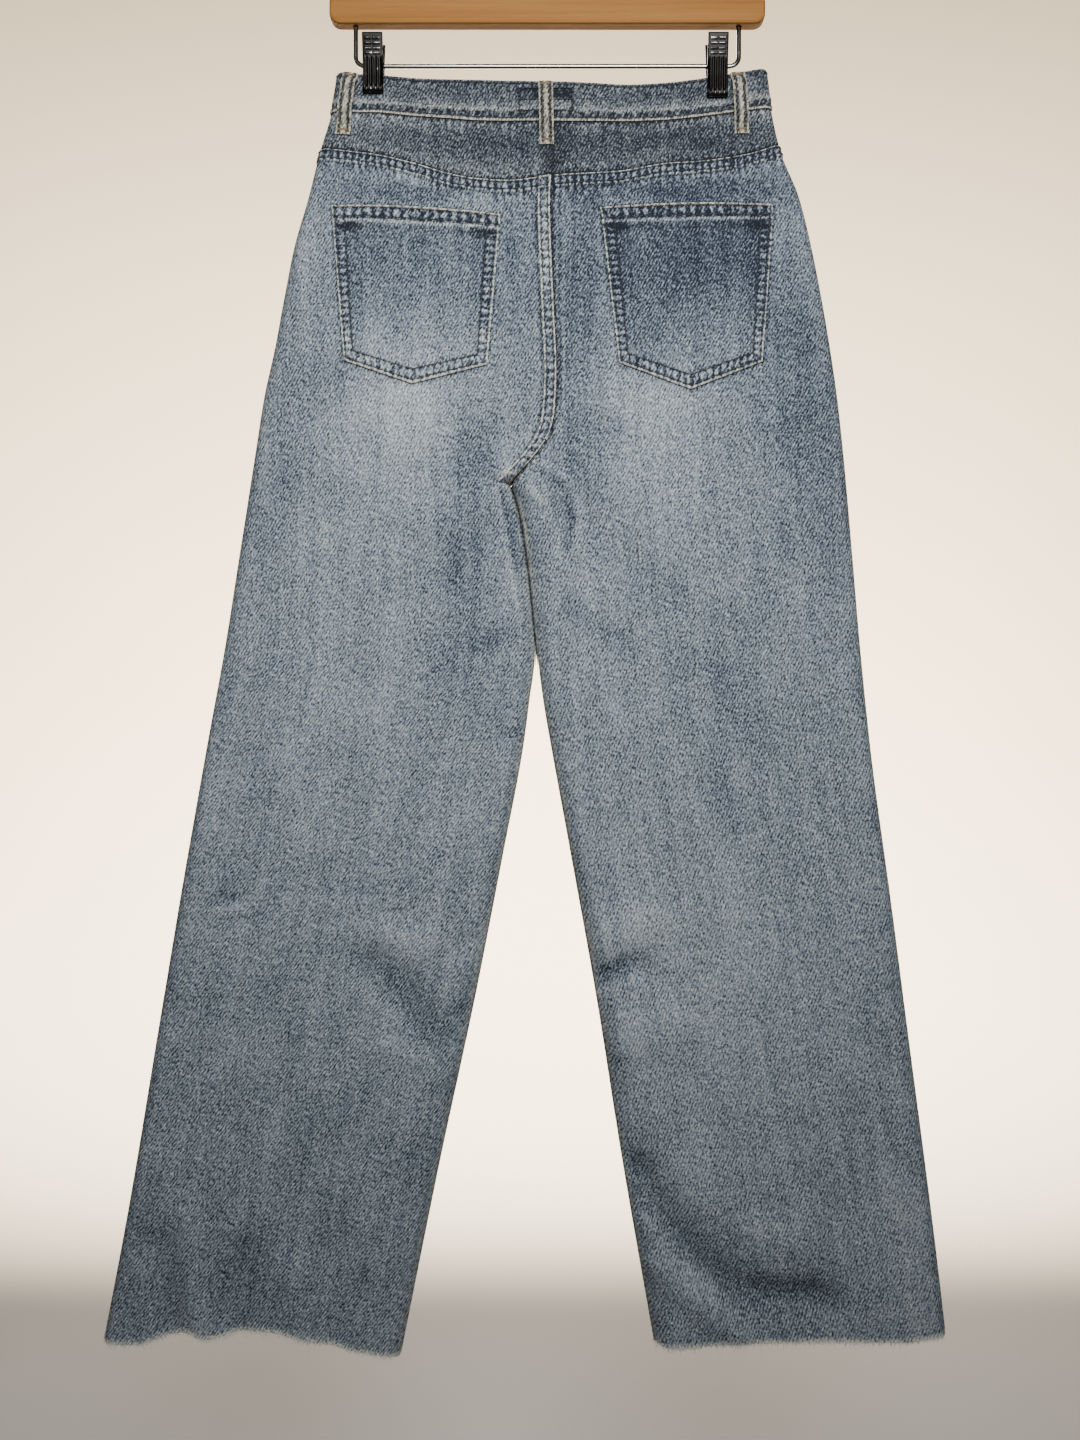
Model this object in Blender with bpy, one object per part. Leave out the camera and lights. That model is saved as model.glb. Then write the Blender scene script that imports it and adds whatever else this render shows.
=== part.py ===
"""Wide leg jeans that hang by two clips from a wooden trouser hanger.

The back of the jeans faces -Y, their front faces +Y and their left leg is at -X.
The origin is the inner top of the hanger's hook, so all of it lies below Z = 0.
Lengths are worked out in millimetres and the meshes are made in metres. A drop is
how far a point lies below the clipped corners of the waist, and a lift is how far it
lies outside the outer face of the cloth, which is what the outline tables give.
"""

import math
import random
from collections import namedtuple

import bmesh
import bpy
import numpy as np

# ---------------------------------------------------------------- driving sizes, in mm

METRES = 0.001

WAIST_HEIGHT = -142.0
CLOTH = 1.5
SEAM_GAP = 0.3
HALF_GAP = SEAM_GAP / 2
BAND_HALF_GAP = 0.3

BACK = -1
FRONT = 1
LEFT = -1
RIGHT = 1
SIDE_NAMES = {LEFT: "left", RIGHT: "right"}

# The half depths of the hollow cloth across one level: at the middle, at the clips
# and at the side ends, with the width of the rounding at the side seam.
Section = namedtuple("Section", "drop middle clip end side_round")
SECTIONS = [
    Section(-5, 13.0, 2.0, 4.6, 6),
    Section(24, 14.0, 2.2, 5.0, 6),
    Section(36, 15.0, 4.4, 6.2, 7),
    Section(60, 16.0, 7.8, 8.6, 8),
    Section(100, 18.0, 12.0, 12.5, 10),
    Section(150, 19.5, 17.0, 16.5, 12),
    Section(220, 20.5, 20.0, 19.0, 13),
    Section(310, 20.0, 20.0, 19.0, 13),
    Section(400, 17.5, 17.5, 17.0, 13),
    Section(700, 17.0, 17.0, 16.5, 13),
    Section(1060, 16.0, 16.0, 15.5, 12),
]

# The side seams as they are seen from behind.
Sides = namedtuple("Sides", "drop left right")
SIDES = [
    Sides(-5, -170.5, 178.5),
    Sides(34, -177, 184),
    Sides(67, -186.5, 191.5),
    Sides(104, -195.5, 206),
    Sides(145, -207, 216),
    Sides(186, -215, 224),
    Sides(227, -222.5, 231),
    Sides(268, -231.5, 237),
    Sides(309, -238, 241.5),
    Sides(391, -251, 249),
    Sides(473, -264, 256),
    Sides(555, -279, 264.5),
    Sides(678, -300.5, 281),
    Sides(801, -321, 297),
    Sides(924, -341.5, 313),
    Sides(1060, -367, 329),
]

# The inner edges of the two legs. They touch each other down to a drop of 480.
CROTCH_DROP = 339.0
CROTCH_X = -30.0
Inner = namedtuple("Inner", "drop left right")
INNER_EDGES = [
    Inner(339, -30.6, -29.4),
    Inner(362, -23.6, -22.4),
    Inner(403, -17.1, -15.9),
    Inner(440, -13.1, -11.9),
    Inner(477, -10.2, -8.2),
    Inner(514, -14.5, -3.5),
    Inner(555, -20, 3.5),
    Inner(637, -35.5, 18.5),
    Inner(760, -59.5, 40.5),
    Inner(883, -86, 60),
    Inner(1060, -122, 91),
]
INNER_ROUND = 16.0
CROTCH_HALF_GAP = 0.6
CROTCH_CURVE = 28.0

# The seams in the middle of the back and of the front, from the waist to the crotch.
Middle = namedtuple("Middle", "drop back front")
MIDDLE_SEAMS = [
    Middle(-5, 5, 2),
    Middle(65, 4.6, 2),
    Middle(112, 2.2, 2),
    Middle(193, 5, 3),
    Middle(250, 7.4, 4),
    Middle(281, 6, 3),
    Middle(297, 2.7, -0.5),
    Middle(311, -4.9, -7),
    Middle(324, -16, -18),
    Middle(335, -27, -27.5),
    Middle(CROTCH_DROP, CROTCH_X, CROTCH_X),
]

# The waistband's top edge and lower seam, and the seam under the yoke, as drops.
BackLine = namedtuple("BackLine", "x waist seam yoke")
BACK_LINES = [
    BackLine(-190, 1.5, 35, 65),
    BackLine(-143, 2.4, 34.5, 70),
    BackLine(-107, 6, 38.5, 78.5),
    BackLine(-82, 8.2, 41.5, 87),
    BackLine(-55, 10.5, 45, 93),
    BackLine(-30, 12.6, 46.5, 95),
    BackLine(5, 14, 47, 91),
    BackLine(55, 14, 45.7, 87),
    BackLine(97, 10, 42, 78.5),
    BackLine(130, 5, 37.5, 75.5),
    BackLine(164, 0, 33, 70),
    BackLine(200, -2.8, 30.5, 58),
]
FrontLine = namedtuple("FrontLine", "x waist seam")
FRONT_LINES = [
    FrontLine(-190, 1.5, 35),
    FrontLine(-143, 3, 36),
    FrontLine(-100, 10, 43),
    FrontLine(-50, 18.5, 51.5),
    FrontLine(0, 22, 55),
    FrontLine(50, 18.5, 51.5),
    FrontLine(100, 9.5, 42.5),
    FrontLine(140, 2.5, 36),
    FrontLine(200, -2.8, 30.5),
]

# The cut hems: the left one falls toward the inner edge.
HemLine = namedtuple("HemLine", "x back front")
HEM_LEFT = [
    HemLine(-361.5, 1033, 1033),
    HemLine(-330, 1033, 1031),
    HemLine(-230, 1028, 1030),
    HemLine(-160, 1039, 1037),
    HemLine(-119.5, 1047, 1047),
]
HEM_RIGHT = [
    HemLine(89, 1036, 1036),
    HemLine(130, 1036, 1038),
    HemLine(230, 1033, 1034),
    HemLine(290, 1033, 1030),
    HemLine(325, 1028, 1028),
]
HEMS = {LEFT: HEM_LEFT, RIGHT: HEM_RIGHT}

# The largest folds, each along a bent line of (x, drop) points. A height over 0 is a
# ridge and one under 0 is a trough.
Fold = namedtuple("Fold", "face line width height")
FOLDS = [
    Fold(BACK, ((73, 894), (99, 940), (124, 975), (162, 997), (228, 1003)), 15, -7),
    Fold(BACK, ((91, 971), (119, 997), (154, 1025)), 12, 5),
    Fold(BACK, ((104, 900), (148, 936), (200, 952)), 20, 3.5),
    Fold(BACK, ((38, 744), (75, 730)), 14, -5.5),
    Fold(BACK, ((48, 700), (92, 692)), 18, 3),
    Fold(BACK, ((66, 786), (104, 780)), 20, 3),
    Fold(BACK, ((54, 812), (66, 880), (73, 894)), 9, -3),
    Fold(BACK, ((-146, 728), (-120, 752), (-90, 788)), 17, -6),
    Fold(BACK, ((-132, 702), (-82, 714)), 16, 3.5),
    Fold(BACK, ((-82, 718), (-62, 710)), 10, -3),
    Fold(BACK, ((-276, 1050), (-292, 930)), 12, 4.5),
    Fold(BACK, ((-300, 1050), (-318, 950)), 11, -3.5),
    Fold(BACK, ((-250, 1050), (-246, 960)), 12, -3.5),
    Fold(BACK, ((-196, 1050), (-206, 970)), 14, 3),
    Fold(BACK, ((-108, 262), (-150, 345)), 24, -3),
    Fold(BACK, ((116, 268), (160, 350)), 24, -3),
    Fold(BACK, ((-40, 300), (-118, 340)), 18, -3),
    Fold(BACK, ((36, 296), (112, 336)), 18, -3),
    Fold(BACK, ((-34, 372), (-120, 430)), 18, -3.5),
    Fold(BACK, ((8, 366), (96, 430)), 18, -3.5),
    Fold(FRONT, ((-8, 300), (-96, 262)), 15, -3.5),
    Fold(FRONT, ((14, 298), (104, 258)), 15, -3.5),
    Fold(FRONT, ((-30, 366), (-120, 318)), 16, -3.5),
    Fold(FRONT, ((-8, 362), (104, 312)), 16, -3.5),
    Fold(FRONT, ((-230, 700), (-150, 760)), 18, -5),
    Fold(FRONT, ((60, 742), (150, 700)), 18, -5),
    Fold(FRONT, ((-320, 905), (-220, 965)), 18, -5.5),
    Fold(FRONT, ((110, 930), (165, 965), (220, 975)), 17, -6),
    Fold(FRONT, ((-170, 1050), (-182, 940)), 14, 4),
    Fold(FRONT, ((262, 1050), (250, 950)), 14, 4),
]
FOLDS_START = {BACK: (262, 300), FRONT: (100, 180)}
LEAST_HALF_DEPTH = 5.0

CLIP_X = {LEFT: -142.3, RIGHT: 139.0}
CLIP_WIDTH = 16.8
CLIP_FLAT = 9.5

# Panels: where the columns of points lie. The steps are distances from the inner edge
# and from the side seam, and what is between them is divided evenly.
INNER_STEPS = (0, 1.5, 5, 10, INNER_ROUND)
FELLED_WIDTH = 9.6
FELLED_STEPS = (0, 1.5, 5, FELLED_WIDTH, 10.4, INNER_ROUND)
SIDE_STEPS = (1.0, 0.5, 0.134, 0)
PANEL_SPANS = 8
TOP_ZONE = 150.0
YOKE_ZONE = 80.0
YOKE_SHARES = (0, 0.33, 0.67, 1)
FRONT_TOP_SHARES = (0, 0.3, 0.64)
SOLVE_STEPS = 4
BACK_LEVELS = (TOP_ZONE, 185, 220, 250, 275, 296, 311, 323, 332, 337, 339.5, 350, 375, 405,
               440, 477, 514, 555, 600, 645, 685, 710, 732, 754, 778, 810, 845, 875, 900,
               922, 944, 964, 984, 1004)
FRONT_LEVELS = (TOP_ZONE, 176, 186, 198, 225, 255, 280, 298, 311, 323, 332, 337, 339.5, 350,
                375, 405, 440, 477, 514, 555, 600, 640, 680, 708, 734, 760, 795, 840, 880,
                912, 938, 962, 986)
HEM_ZONE = 950.0

FELLED_RISE = 0.8
FELLED_STEP = 0.8

BAND_OUT = 0.9
BAND_IN = -1.7
BAND_OVERLAP = 18.0
BAND_UNDERLAP = -24.0
BAND_UNDER = 3.0
BAND_SINKS = (22.0, 36.0)
BAND_SHARES = (0, 0.33, 0.62, 1)
BAND_FIRST_GUESS = 15.0
BUTTONHOLE = (11.0, 5.6)

# The fly: the left front laps over the right one down to the end of the zip.
FLY_LAP = 7.0
FLY_EDGE = 1.0
FLY_NARROWS = (176.0, 186.0)
FLY_SETTLES = (186.0, 198.0)
FLY_RISE = 1.8
FLY_RAMP = (16.0, 9.2)
ZIP_BOTTOM = 176.0
ZIP_TAPE = 1.4
ZIP_LIFT = -1.8
ZIP_TEETH_LIFT = -0.4
ZIP_COLUMNS = (-11.0, -4.3, -4.1, 0.4, 0.6, 11.0)
SLIDER_SIZE = (6.8, 11.0)
SLIDER_LIFTS = (-3.8, 0.0)
SLIDER_TOP = 1.2
ZIP_ROWS = 6

# The scooped front pockets.
SCOOP_X = {LEFT: -92.0, RIGHT: 94.0}
SCOOP_DEPTH = 82.0
SCOOP_STEPS = (0.0, 1.5, 6.0, 14.0, 28.0, 50.0)
FACING_LAP = 10.0
FACING_LIFT = -2.1
FACING_CLOTH = 1.2
FACING_COLUMNS = (0.0, 0.08, 0.2, 0.36, 0.56, 0.78, 1.0)
FACING_ROWS = (0, 0.25, 0.5, 0.75, 0.9, 1)
FACING_SHOWN_LIFT = -0.2
FACING_SHOWN = (3, 14)

# The back pockets, seen from behind: corners as (x, drop), from the photographed shape.
PocketCorners = namedtuple("PocketCorners", "top_inner top_outer low_inner low_outer tip")
POCKETS = {
    LEFT: PocketCorners((-37.5, 124), (-174.5, 115), (-48.2, 245), (-163.5, 242), (-108.8, 260.5)),
    RIGHT: PocketCorners((42.2, 118.5), (183, 114), (57.5, 243.5), (172.6, 243), (115, 265)),
}
POCKET_ARCH = 3.5
POCKET_CLOTH = 1.4
POCKET_SEAT = 0.45
POCKET_HEM = 10.6
POCKET_HEM_RISE = 0.7
POCKET_COLUMNS = 7
POCKET_ROWS = (0.3, 0.52, 0.76, 1)

# The belt loops: x at the top and at the bottom, and how far the middle stands off.
Loop = namedtuple("Loop", "name face x_top x_bottom stand")
BELT_LOOPS = [
    Loop("belt_loop_centre_back", BACK, -1.5, -0.5, 6.4),
    Loop("belt_loop_back_left", BACK, -160.6, -166.6, 6.4),
    Loop("belt_loop_back_right", BACK, 155.6, 158.4, 6.4),
    Loop("belt_loop_front_left", FRONT, -74, -76, 7.6),
    Loop("belt_loop_front_right", FRONT, 77, 79, 7.6),
]
LOOP_WIDTH = 11.6
LOOP_LENGTH = 52.0
LOOP_CLOTH = 1.8
LOOP_TOP = 0.6
# How far down the loop, and how far it has come from its seat to its full stand.
LoopRow = namedtuple("LoopRow", "along rise seat")
LOOP_ROWS = [
    LoopRow(0.0, 0.0, 1.2),
    LoopRow(0.08, 0.0, 1.2),
    LoopRow(0.17, 0.7, 1.2),
    LoopRow(0.26, 1.0, 1.2),
    LoopRow(0.58, 1.0, 1.2),
    LoopRow(0.72, 0.62, 0.3),
    LoopRow(0.85, 0.0, 0.3),
    LoopRow(1.0, 0.0, 0.3),
]

# The waist button, its cap and its shank through the buttonhole.
BUTTON_X = 9.0
BUTTON_BAND_DROP = 16.0
BUTTON_RADIUS = 8.5
BUTTON_CAP = 3.0
BUTTON_SHANK = 2.3
BUTTON_SIDES = 20
BUTTON_LIFT = 0.35
BUTTON_RIM = 0.8
BUTTON_EDGE = 1.7
BUTTON_TOP_SHARE = 0.7

# The frayed edge below each hem.
FRAY_GAP = 0.65
FRAY_HEIGHT = 2.0
FRAY_THICK = 1.2
FRAY_THREADS = 64
FRAY_THREAD = (1.0, 1.6)
FRAY_REACH = (2.2, 5.0)
FRAY_LEAN = 1.6
FRAY_SEED = 11
FRAY_INSET = 0.15
FRAY_JITTER = 0.25

# The hanger.
WOOD_LENGTH = 356.0
WOOD_THICK = 12.6
WOOD_BOTTOM = -104.3
WOOD_END_HEIGHT = 27.0
WOOD_MID_HEIGHT = 42.0
WOOD_FLAT = 16.0
WOOD_CORNER = 9.0
WOOD_EDGE = 2.2
WIRE_RADIUS = 2.0
BORE_RADIUS = 2.35
HOOK_RADIUS = 20.0
HOOK_END_ANGLE = 205.0
HOOK_DEPTH_IN_WOOD = 16.0
HOOK_TURN_RADIUS = 8.0
HOOK_NECK_HEIGHT = 14.0
HOOK_NECK_STEPS = 6
HOOK_START_ANGLE = 14.0
RAIL_DROP = -5.2
RAIL_HALF_SPAN = 157.0
RAIL_BEND = 8.0
RAIL_DEPTH_IN_WOOD = 14.0
WIRE_STEP = 15.0

CLIP_TOP_DROP = -28.0
CLIP_BOTTOM_DROP = {LEFT: 18.8, RIGHT: 22.3}
CLIP_BAND_DROP = {LEFT: 3.6, RIGHT: 4.4}
JAW_PLATE = 1.3
JAW_BITE = 3.5
BARREL_RADIUS = 4.4
BARREL_LENGTH = 13.0
BARREL_SIDES = 14
JAW_TOP_Y = 9.5
JAW_SHOULDER = 6.0
JAW_BEND = 0.6
JAW_FOOT = 2.6
JAW_FOOT_HEIGHT = 1.6
RAIL_LOWER_TURN = 6.0
RAIL_SLACK = 0.05
BUTTONHOLE_REACH = (-0.15, 2.0)

# ---------------------------------------------------------------- colours

DENIM = (0.215, 0.245, 0.265, 1)
DENIM_DARK = (0.10, 0.125, 0.155, 1)
FRAY = (0.62, 0.62, 0.58, 1)
WOOD = (0.50, 0.255, 0.085, 1)
CHROME = (0.72, 0.73, 0.75, 1)
DARK_STEEL = (0.10, 0.10, 0.105, 1)
BRASS = (0.42, 0.30, 0.16, 1)


def material(name, colour, roughness, metallic=0.0):
    """A plain surface of one colour."""
    made = bpy.data.materials.new(name)
    made.use_nodes = True
    shader = made.node_tree.nodes["Principled BSDF"]
    shader.inputs["Base Color"].default_value = colour
    shader.inputs["Roughness"].default_value = roughness
    shader.inputs["Metallic"].default_value = metallic
    return made


# ---------------------------------------------------------------- curves and tables

def smooth(start, end, value):
    """0 before the start, 1 after the end, and a soft S between them."""
    share = np.clip((np.asarray(value, float) - start) / (end - start), 0, 1)
    return share * share * (3 - 2 * share)


def mix(first, second, share):
    return first + (second - first) * share


def follow(rows, column, at):
    """Read one column of a table at a place, along a curve that never overshoots."""
    places = np.array([row[0] for row in rows], float)
    values = np.array([getattr(row, column) for row in rows], float)
    spans = np.diff(places)
    rates = np.diff(values) / spans
    slopes = np.zeros(len(places))
    slopes[0] = rates[0]
    slopes[-1] = rates[-1]
    same_way = rates[:-1] * rates[1:] > 0
    before = rates[:-1][same_way]
    after = rates[1:][same_way]
    slopes[1:-1][same_way] = 2 * before * after / (before + after)
    at = np.clip(at, places[0], places[-1])
    i = np.clip(np.searchsorted(places, at, side="right") - 1, 0, len(spans) - 1)
    t = (at - places[i]) / spans[i]
    rest = 1 - t
    return (values[i] * (1 + 2 * t) * rest ** 2 + slopes[i] * spans[i] * t * rest ** 2
            + values[i + 1] * t * t * (3 - 2 * t) - slopes[i + 1] * spans[i] * t * t * rest)


def column_of(side):
    return SIDE_NAMES[side]


def side_x(side, drop):
    return follow(SIDES, column_of(side), drop)


def middle_x(face, drop):
    return follow(MIDDLE_SEAMS, "back" if face == BACK else "front", drop)


def seam_half_gap(drop):
    """Half of the gap at the middle seams, which opens a little toward the crotch."""
    return mix(HALF_GAP, CROTCH_HALF_GAP, smooth(CROTCH_DROP - 2 * CROTCH_CURVE, CROTCH_DROP, drop))


def inner_x(face, side, drop):
    """The middle seam above the crotch, and the leg's inner edge below it."""
    drop = np.asarray(drop, float)
    seam = middle_x(face, drop) + side * seam_half_gap(drop)
    leg = follow(INNER_EDGES, column_of(side), drop)
    return np.where(drop < CROTCH_DROP, seam, leg)


def fold_heights(face, x, drop):
    """How far the folds push the cloth out or in."""
    total = np.zeros(np.broadcast(x, drop).shape)
    for fold in FOLDS:
        if fold.face != face:
            continue
        nearest = np.full(total.shape, np.inf)
        for start, end in zip(fold.line, fold.line[1:]):
            run = np.subtract(end, start)
            share = ((x - start[0]) * run[0] + (drop - start[1]) * run[1]) / (run @ run)
            share = np.clip(share, 0, 1)
            off_x = x - start[0] - share * run[0]
            off_drop = drop - start[1] - share * run[1]
            nearest = np.minimum(nearest, off_x ** 2 + off_drop ** 2)
        total = total + fold.height * np.exp(-nearest / fold.width ** 2)
    return total


def half_depth(face, side, x, drop):
    """How far the cloth's outer face stands from the hanging plane, Y = 0."""
    x, drop = np.broadcast_arrays(np.asarray(x, float), np.asarray(drop, float))
    middle = follow(SECTIONS, "middle", drop)
    clip = follow(SECTIONS, "clip", drop)
    end = follow(SECTIONS, "end", drop)
    side_round = follow(SECTIONS, "side_round", drop)
    from_side = np.maximum(side * (side_x(side, drop) - x), 0)
    from_inner = np.maximum(side * (x - inner_x(face, side, drop)), 0)
    from_clip = side * (CLIP_X[side] - x)
    toward_middle = smooth(CLIP_FLAT, abs(CLIP_X[side]), from_clip)
    end_span = side * (side_x(side, drop) - CLIP_X[side]) - side_round
    toward_end = smooth(CLIP_FLAT, np.maximum(end_span, CLIP_FLAT + 1), -from_clip)
    depth = np.where(from_clip > 0, mix(clip, middle, toward_middle), mix(clip, end, toward_end))
    folded = depth + fold_heights(face, x, drop) * smooth(*FOLDS_START[face], drop)
    depth = np.maximum(folded, np.minimum(depth, LEAST_HALF_DEPTH))
    at_side = np.clip(from_side / side_round, 0, 1)
    depth = depth * np.sqrt(at_side * (2 - at_side))
    below_curve = np.clip((drop - CROTCH_DROP + CROTCH_CURVE) / CROTCH_CURVE, 0, 1)
    kept = np.sqrt(1 - below_curve ** 2)
    at_inner = np.clip(from_inner / INNER_ROUND, 0, 1)
    return depth * (kept + (1 - kept) * np.sqrt(at_inner * (2 - at_inner)))


def cloth_points(face, side, x, drop):
    """Points on the outer face, which never come nearer to Y = 0 than half a seam gap."""
    depth = np.maximum(half_depth(face, side, x, drop), HALF_GAP)
    x, drop = np.broadcast_arrays(np.asarray(x, float), np.asarray(drop, float))
    return np.stack([x, face * depth, WAIST_HEIGHT - drop], axis=-1)


def grid_normals(points, outward):
    """Unit normals of a grid of points, turned to agree with a direction at its middle."""
    along_rows = np.gradient(points, axis=0)
    along_columns = np.gradient(points, axis=1)
    normals = np.cross(along_rows, along_columns)
    normals /= np.linalg.norm(normals, axis=-1, keepdims=True)
    middle = normals[points.shape[0] // 2, points.shape[1] // 2]
    return normals if middle @ np.asarray(outward, float) > 0 else -normals


def keep_apart(points, face):
    """Hold a layer on its own face's side of the side and leg seams."""
    points[..., 1] = face * np.maximum(face * points[..., 1], HALF_GAP)
    return points


# ---------------------------------------------------------------- meshes

def add_object(name, mesh, surface):
    mesh.materials.append(surface)
    made = bpy.data.objects.new(name, mesh)
    bpy.context.scene.collection.objects.link(made)
    return made


def finish_mesh(name, mesh, surface, smooth_angle=38):
    """Turn the faces outward, shade the rounds smooth and add the object."""
    work = bmesh.new()
    work.from_mesh(mesh)
    if work.calc_volume(signed=True) < 0:
        bmesh.ops.reverse_faces(work, faces=work.faces[:])
    bmesh.ops.triangulate(work, faces=work.faces[:], quad_method="SHORT_EDGE")
    work.to_mesh(mesh)
    work.free()
    mesh.shade_smooth()
    mesh.set_sharp_from_angle(angle=math.radians(smooth_angle))
    return add_object(name, mesh, surface)


def slab(name, outer, inner, surface, smooth_angle=38):
    """A closed wall between two grids of points that have the same rows and columns."""
    rows, columns = outer.shape[:2]
    vertices = np.concatenate([outer.reshape(-1, 3), inner.reshape(-1, 3)]) * METRES
    under = rows * columns
    faces = []
    for r in range(rows - 1):
        for c in range(columns - 1):
            a = r * columns + c
            b = a + columns
            faces.append((a, a + 1, b + 1, b))
            faces.append((under + a, under + b, under + b + 1, under + a + 1))
    rim = [c for c in range(columns)]
    rim += [r * columns + columns - 1 for r in range(1, rows)]
    rim += [(rows - 1) * columns + c for c in range(columns - 2, -1, -1)]
    rim += [r * columns for r in range(rows - 2, 0, -1)]
    for here, after in zip(rim, rim[1:] + rim[:1]):
        faces.append((here, under + here, under + after, after))
    mesh = bpy.data.meshes.new(name)
    mesh.from_pydata(vertices.tolist(), [], faces)
    return finish_mesh(name, mesh, surface, smooth_angle)


def extruded(name, outline, x_from, x_to, surface):
    """A solid with one (y, z) outline from one x to another."""
    count = len(outline)
    vertices = [(x * METRES, y * METRES, z * METRES) for x in (x_from, x_to) for y, z in outline]
    faces = [tuple(range(count)), tuple(range(2 * count - 1, count - 1, -1))]
    for i in range(count):
        after = (i + 1) % count
        faces.append((i, i + count, after + count, after))
    mesh = bpy.data.meshes.new(name)
    mesh.from_pydata(vertices, [], faces)
    return finish_mesh(name, mesh, surface)


def wire(name, points, radius, surface):
    """A round wire through points in the plane Y = 0."""
    curve = bpy.data.curves.new(name, "CURVE")
    curve.dimensions = "3D"
    curve.bevel_depth = radius * METRES
    curve.bevel_resolution = 2
    curve.use_fill_caps = True
    line = curve.splines.new("POLY")
    line.points.add(len(points) - 1)
    for point, (x, z) in zip(line.points, points):
        point.co = (x * METRES, 0, z * METRES, 1)
    curve.materials.append(surface)
    made = bpy.data.objects.new(name, curve)
    bpy.context.scene.collection.objects.link(made)
    return made


def cut(body, cutter):
    """Cut one object's shape out of another."""
    cutter.hide_render = True
    cutter.display_type = "WIRE"
    modifier = body.modifiers.new("cut by " + cutter.name, "BOOLEAN")
    modifier.operation = "DIFFERENCE"
    modifier.object = cutter


def cylinder(name, radius, height, sides, surface):
    """An upright cylinder round its own origin."""
    mesh = bpy.data.meshes.new(name)
    work = bmesh.new()
    bmesh.ops.create_cone(work, cap_ends=True, segments=sides, radius1=radius * METRES,
                          radius2=radius * METRES, depth=height * METRES)
    work.to_mesh(mesh)
    work.free()
    return finish_mesh(name, mesh, surface)


# ---------------------------------------------------------------- the cloth panels

def spread(width, side_round, inner_steps, shares):
    """Distances from the inner edge of each column, for a panel as wide as this."""
    inner_part = [np.broadcast_to(float(step), width.shape[:1]) for step in inner_steps[:-1]]
    between = width[:, 0] - INNER_ROUND - side_round[:, 0]
    middle_part = [INNER_ROUND + between * share for share in shares[:-1]]
    side_part = [width[:, 0] - side_round[:, 0] * step for step in SIDE_STEPS]
    return np.stack(inner_part + middle_part + side_part, axis=1)


def even_shares():
    return [i / PANEL_SPANS for i in range(PANEL_SPANS + 1)]


def fly_lap(drop):
    """How far the left front reaches past the middle seam."""
    return FLY_LAP * (1 - smooth(*FLY_NARROWS, drop))


def panel_inner_x(face, side, drop):
    """The inner edge of a panel, which at the front has the fly's lap."""
    edge = inner_x(face, side, drop)
    if face == FRONT and side == LEFT:
        return np.where(drop < CROTCH_DROP, edge + fly_lap(drop), edge)
    if face == FRONT:
        return np.where(drop < CROTCH_DROP, edge + FLY_EDGE * (1 - smooth(*FLY_NARROWS, drop)), edge)
    return edge


def scoop_shares(side, inner, width, side_round):
    """Shares whose columns crowd round the steep start of the scooped edge."""
    between = width - INNER_ROUND - side_round
    start = (np.abs(SCOOP_X[side] - inner) - INNER_ROUND) / between
    past = [start + step / between for step in SCOOP_STEPS]
    return [np.zeros_like(start), start / 2] + past + [np.ones_like(start)]


def panel_grid(face, side, top_line, top_shares, levels, inner_steps):
    """The (x, drop) of each point: rows from the top line down to the hem."""
    rows = [("top", share) for share in top_shares]
    rows += [("level", level) for level in levels]
    rows += [("hem", 0.0)]
    xs = []
    drops = []
    columns = len(inner_steps) + PANEL_SPANS - 1 + len(SIDE_STEPS)
    for kind, value in rows:
        drop = np.full(columns, value if kind == "level" else levels[0 if kind == "top" else -1])
        scooped = 1 - value if kind == "top" else 0.0
        for _ in range(SOLVE_STEPS):
            inner = panel_inner_x(face, side, drop)
            width = side * (side_x(side, drop) - inner)
            side_round = follow(SECTIONS, "side_round", drop)
            shares = even_shares()
            if face == FRONT and scooped > 0:
                crowded = scoop_shares(side, inner, width, side_round)
                shares = [mix(a, b, scooped) for a, b in zip(shares, crowded)]
            table = spread(width[:, None], side_round[:, None], inner_steps, shares)
            x = inner + side * np.diagonal(table)
            if kind == "top":
                drop = mix(top_line(x, drop), TOP_ZONE, value)
            elif kind == "hem":
                drop = follow(HEMS[side], "back" if face == BACK else "front", x)
            elif value > HEM_ZONE:
                hem = follow(HEMS[side], "back" if face == BACK else "front", x)
                drop = value + (hem - hem.mean()) * smooth(HEM_ZONE, hem.mean(), value)
        xs.append(x)
        drops.append(drop)
    return np.array(xs), np.array(drops)


def panel(name, face, side, grid, raised, surface):
    """A cloth panel between its outer face and the inner face under it."""
    x, drop = grid
    outer = cloth_points(face, side, x, drop)
    normals = grid_normals(outer, (0, face, 0))
    inner = keep_apart(outer - normals * CLOTH, face)
    if face == BACK:
        seam = inner_x(face, side, drop)
        held = side * np.maximum(side * inner[..., 0], side * seam)
        inner[..., 0] = np.where(drop < CROTCH_DROP, held, inner[..., 0])
    lifted = raised(x, drop)[..., None] * normals
    at_inner_face = 1.0 if face == FRONT else 0.0
    return slab(name, outer + lifted, inner + lifted * at_inner_face, surface)


def yoke_line(x):
    return follow(BACK_LINES, "yoke", x)


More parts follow.
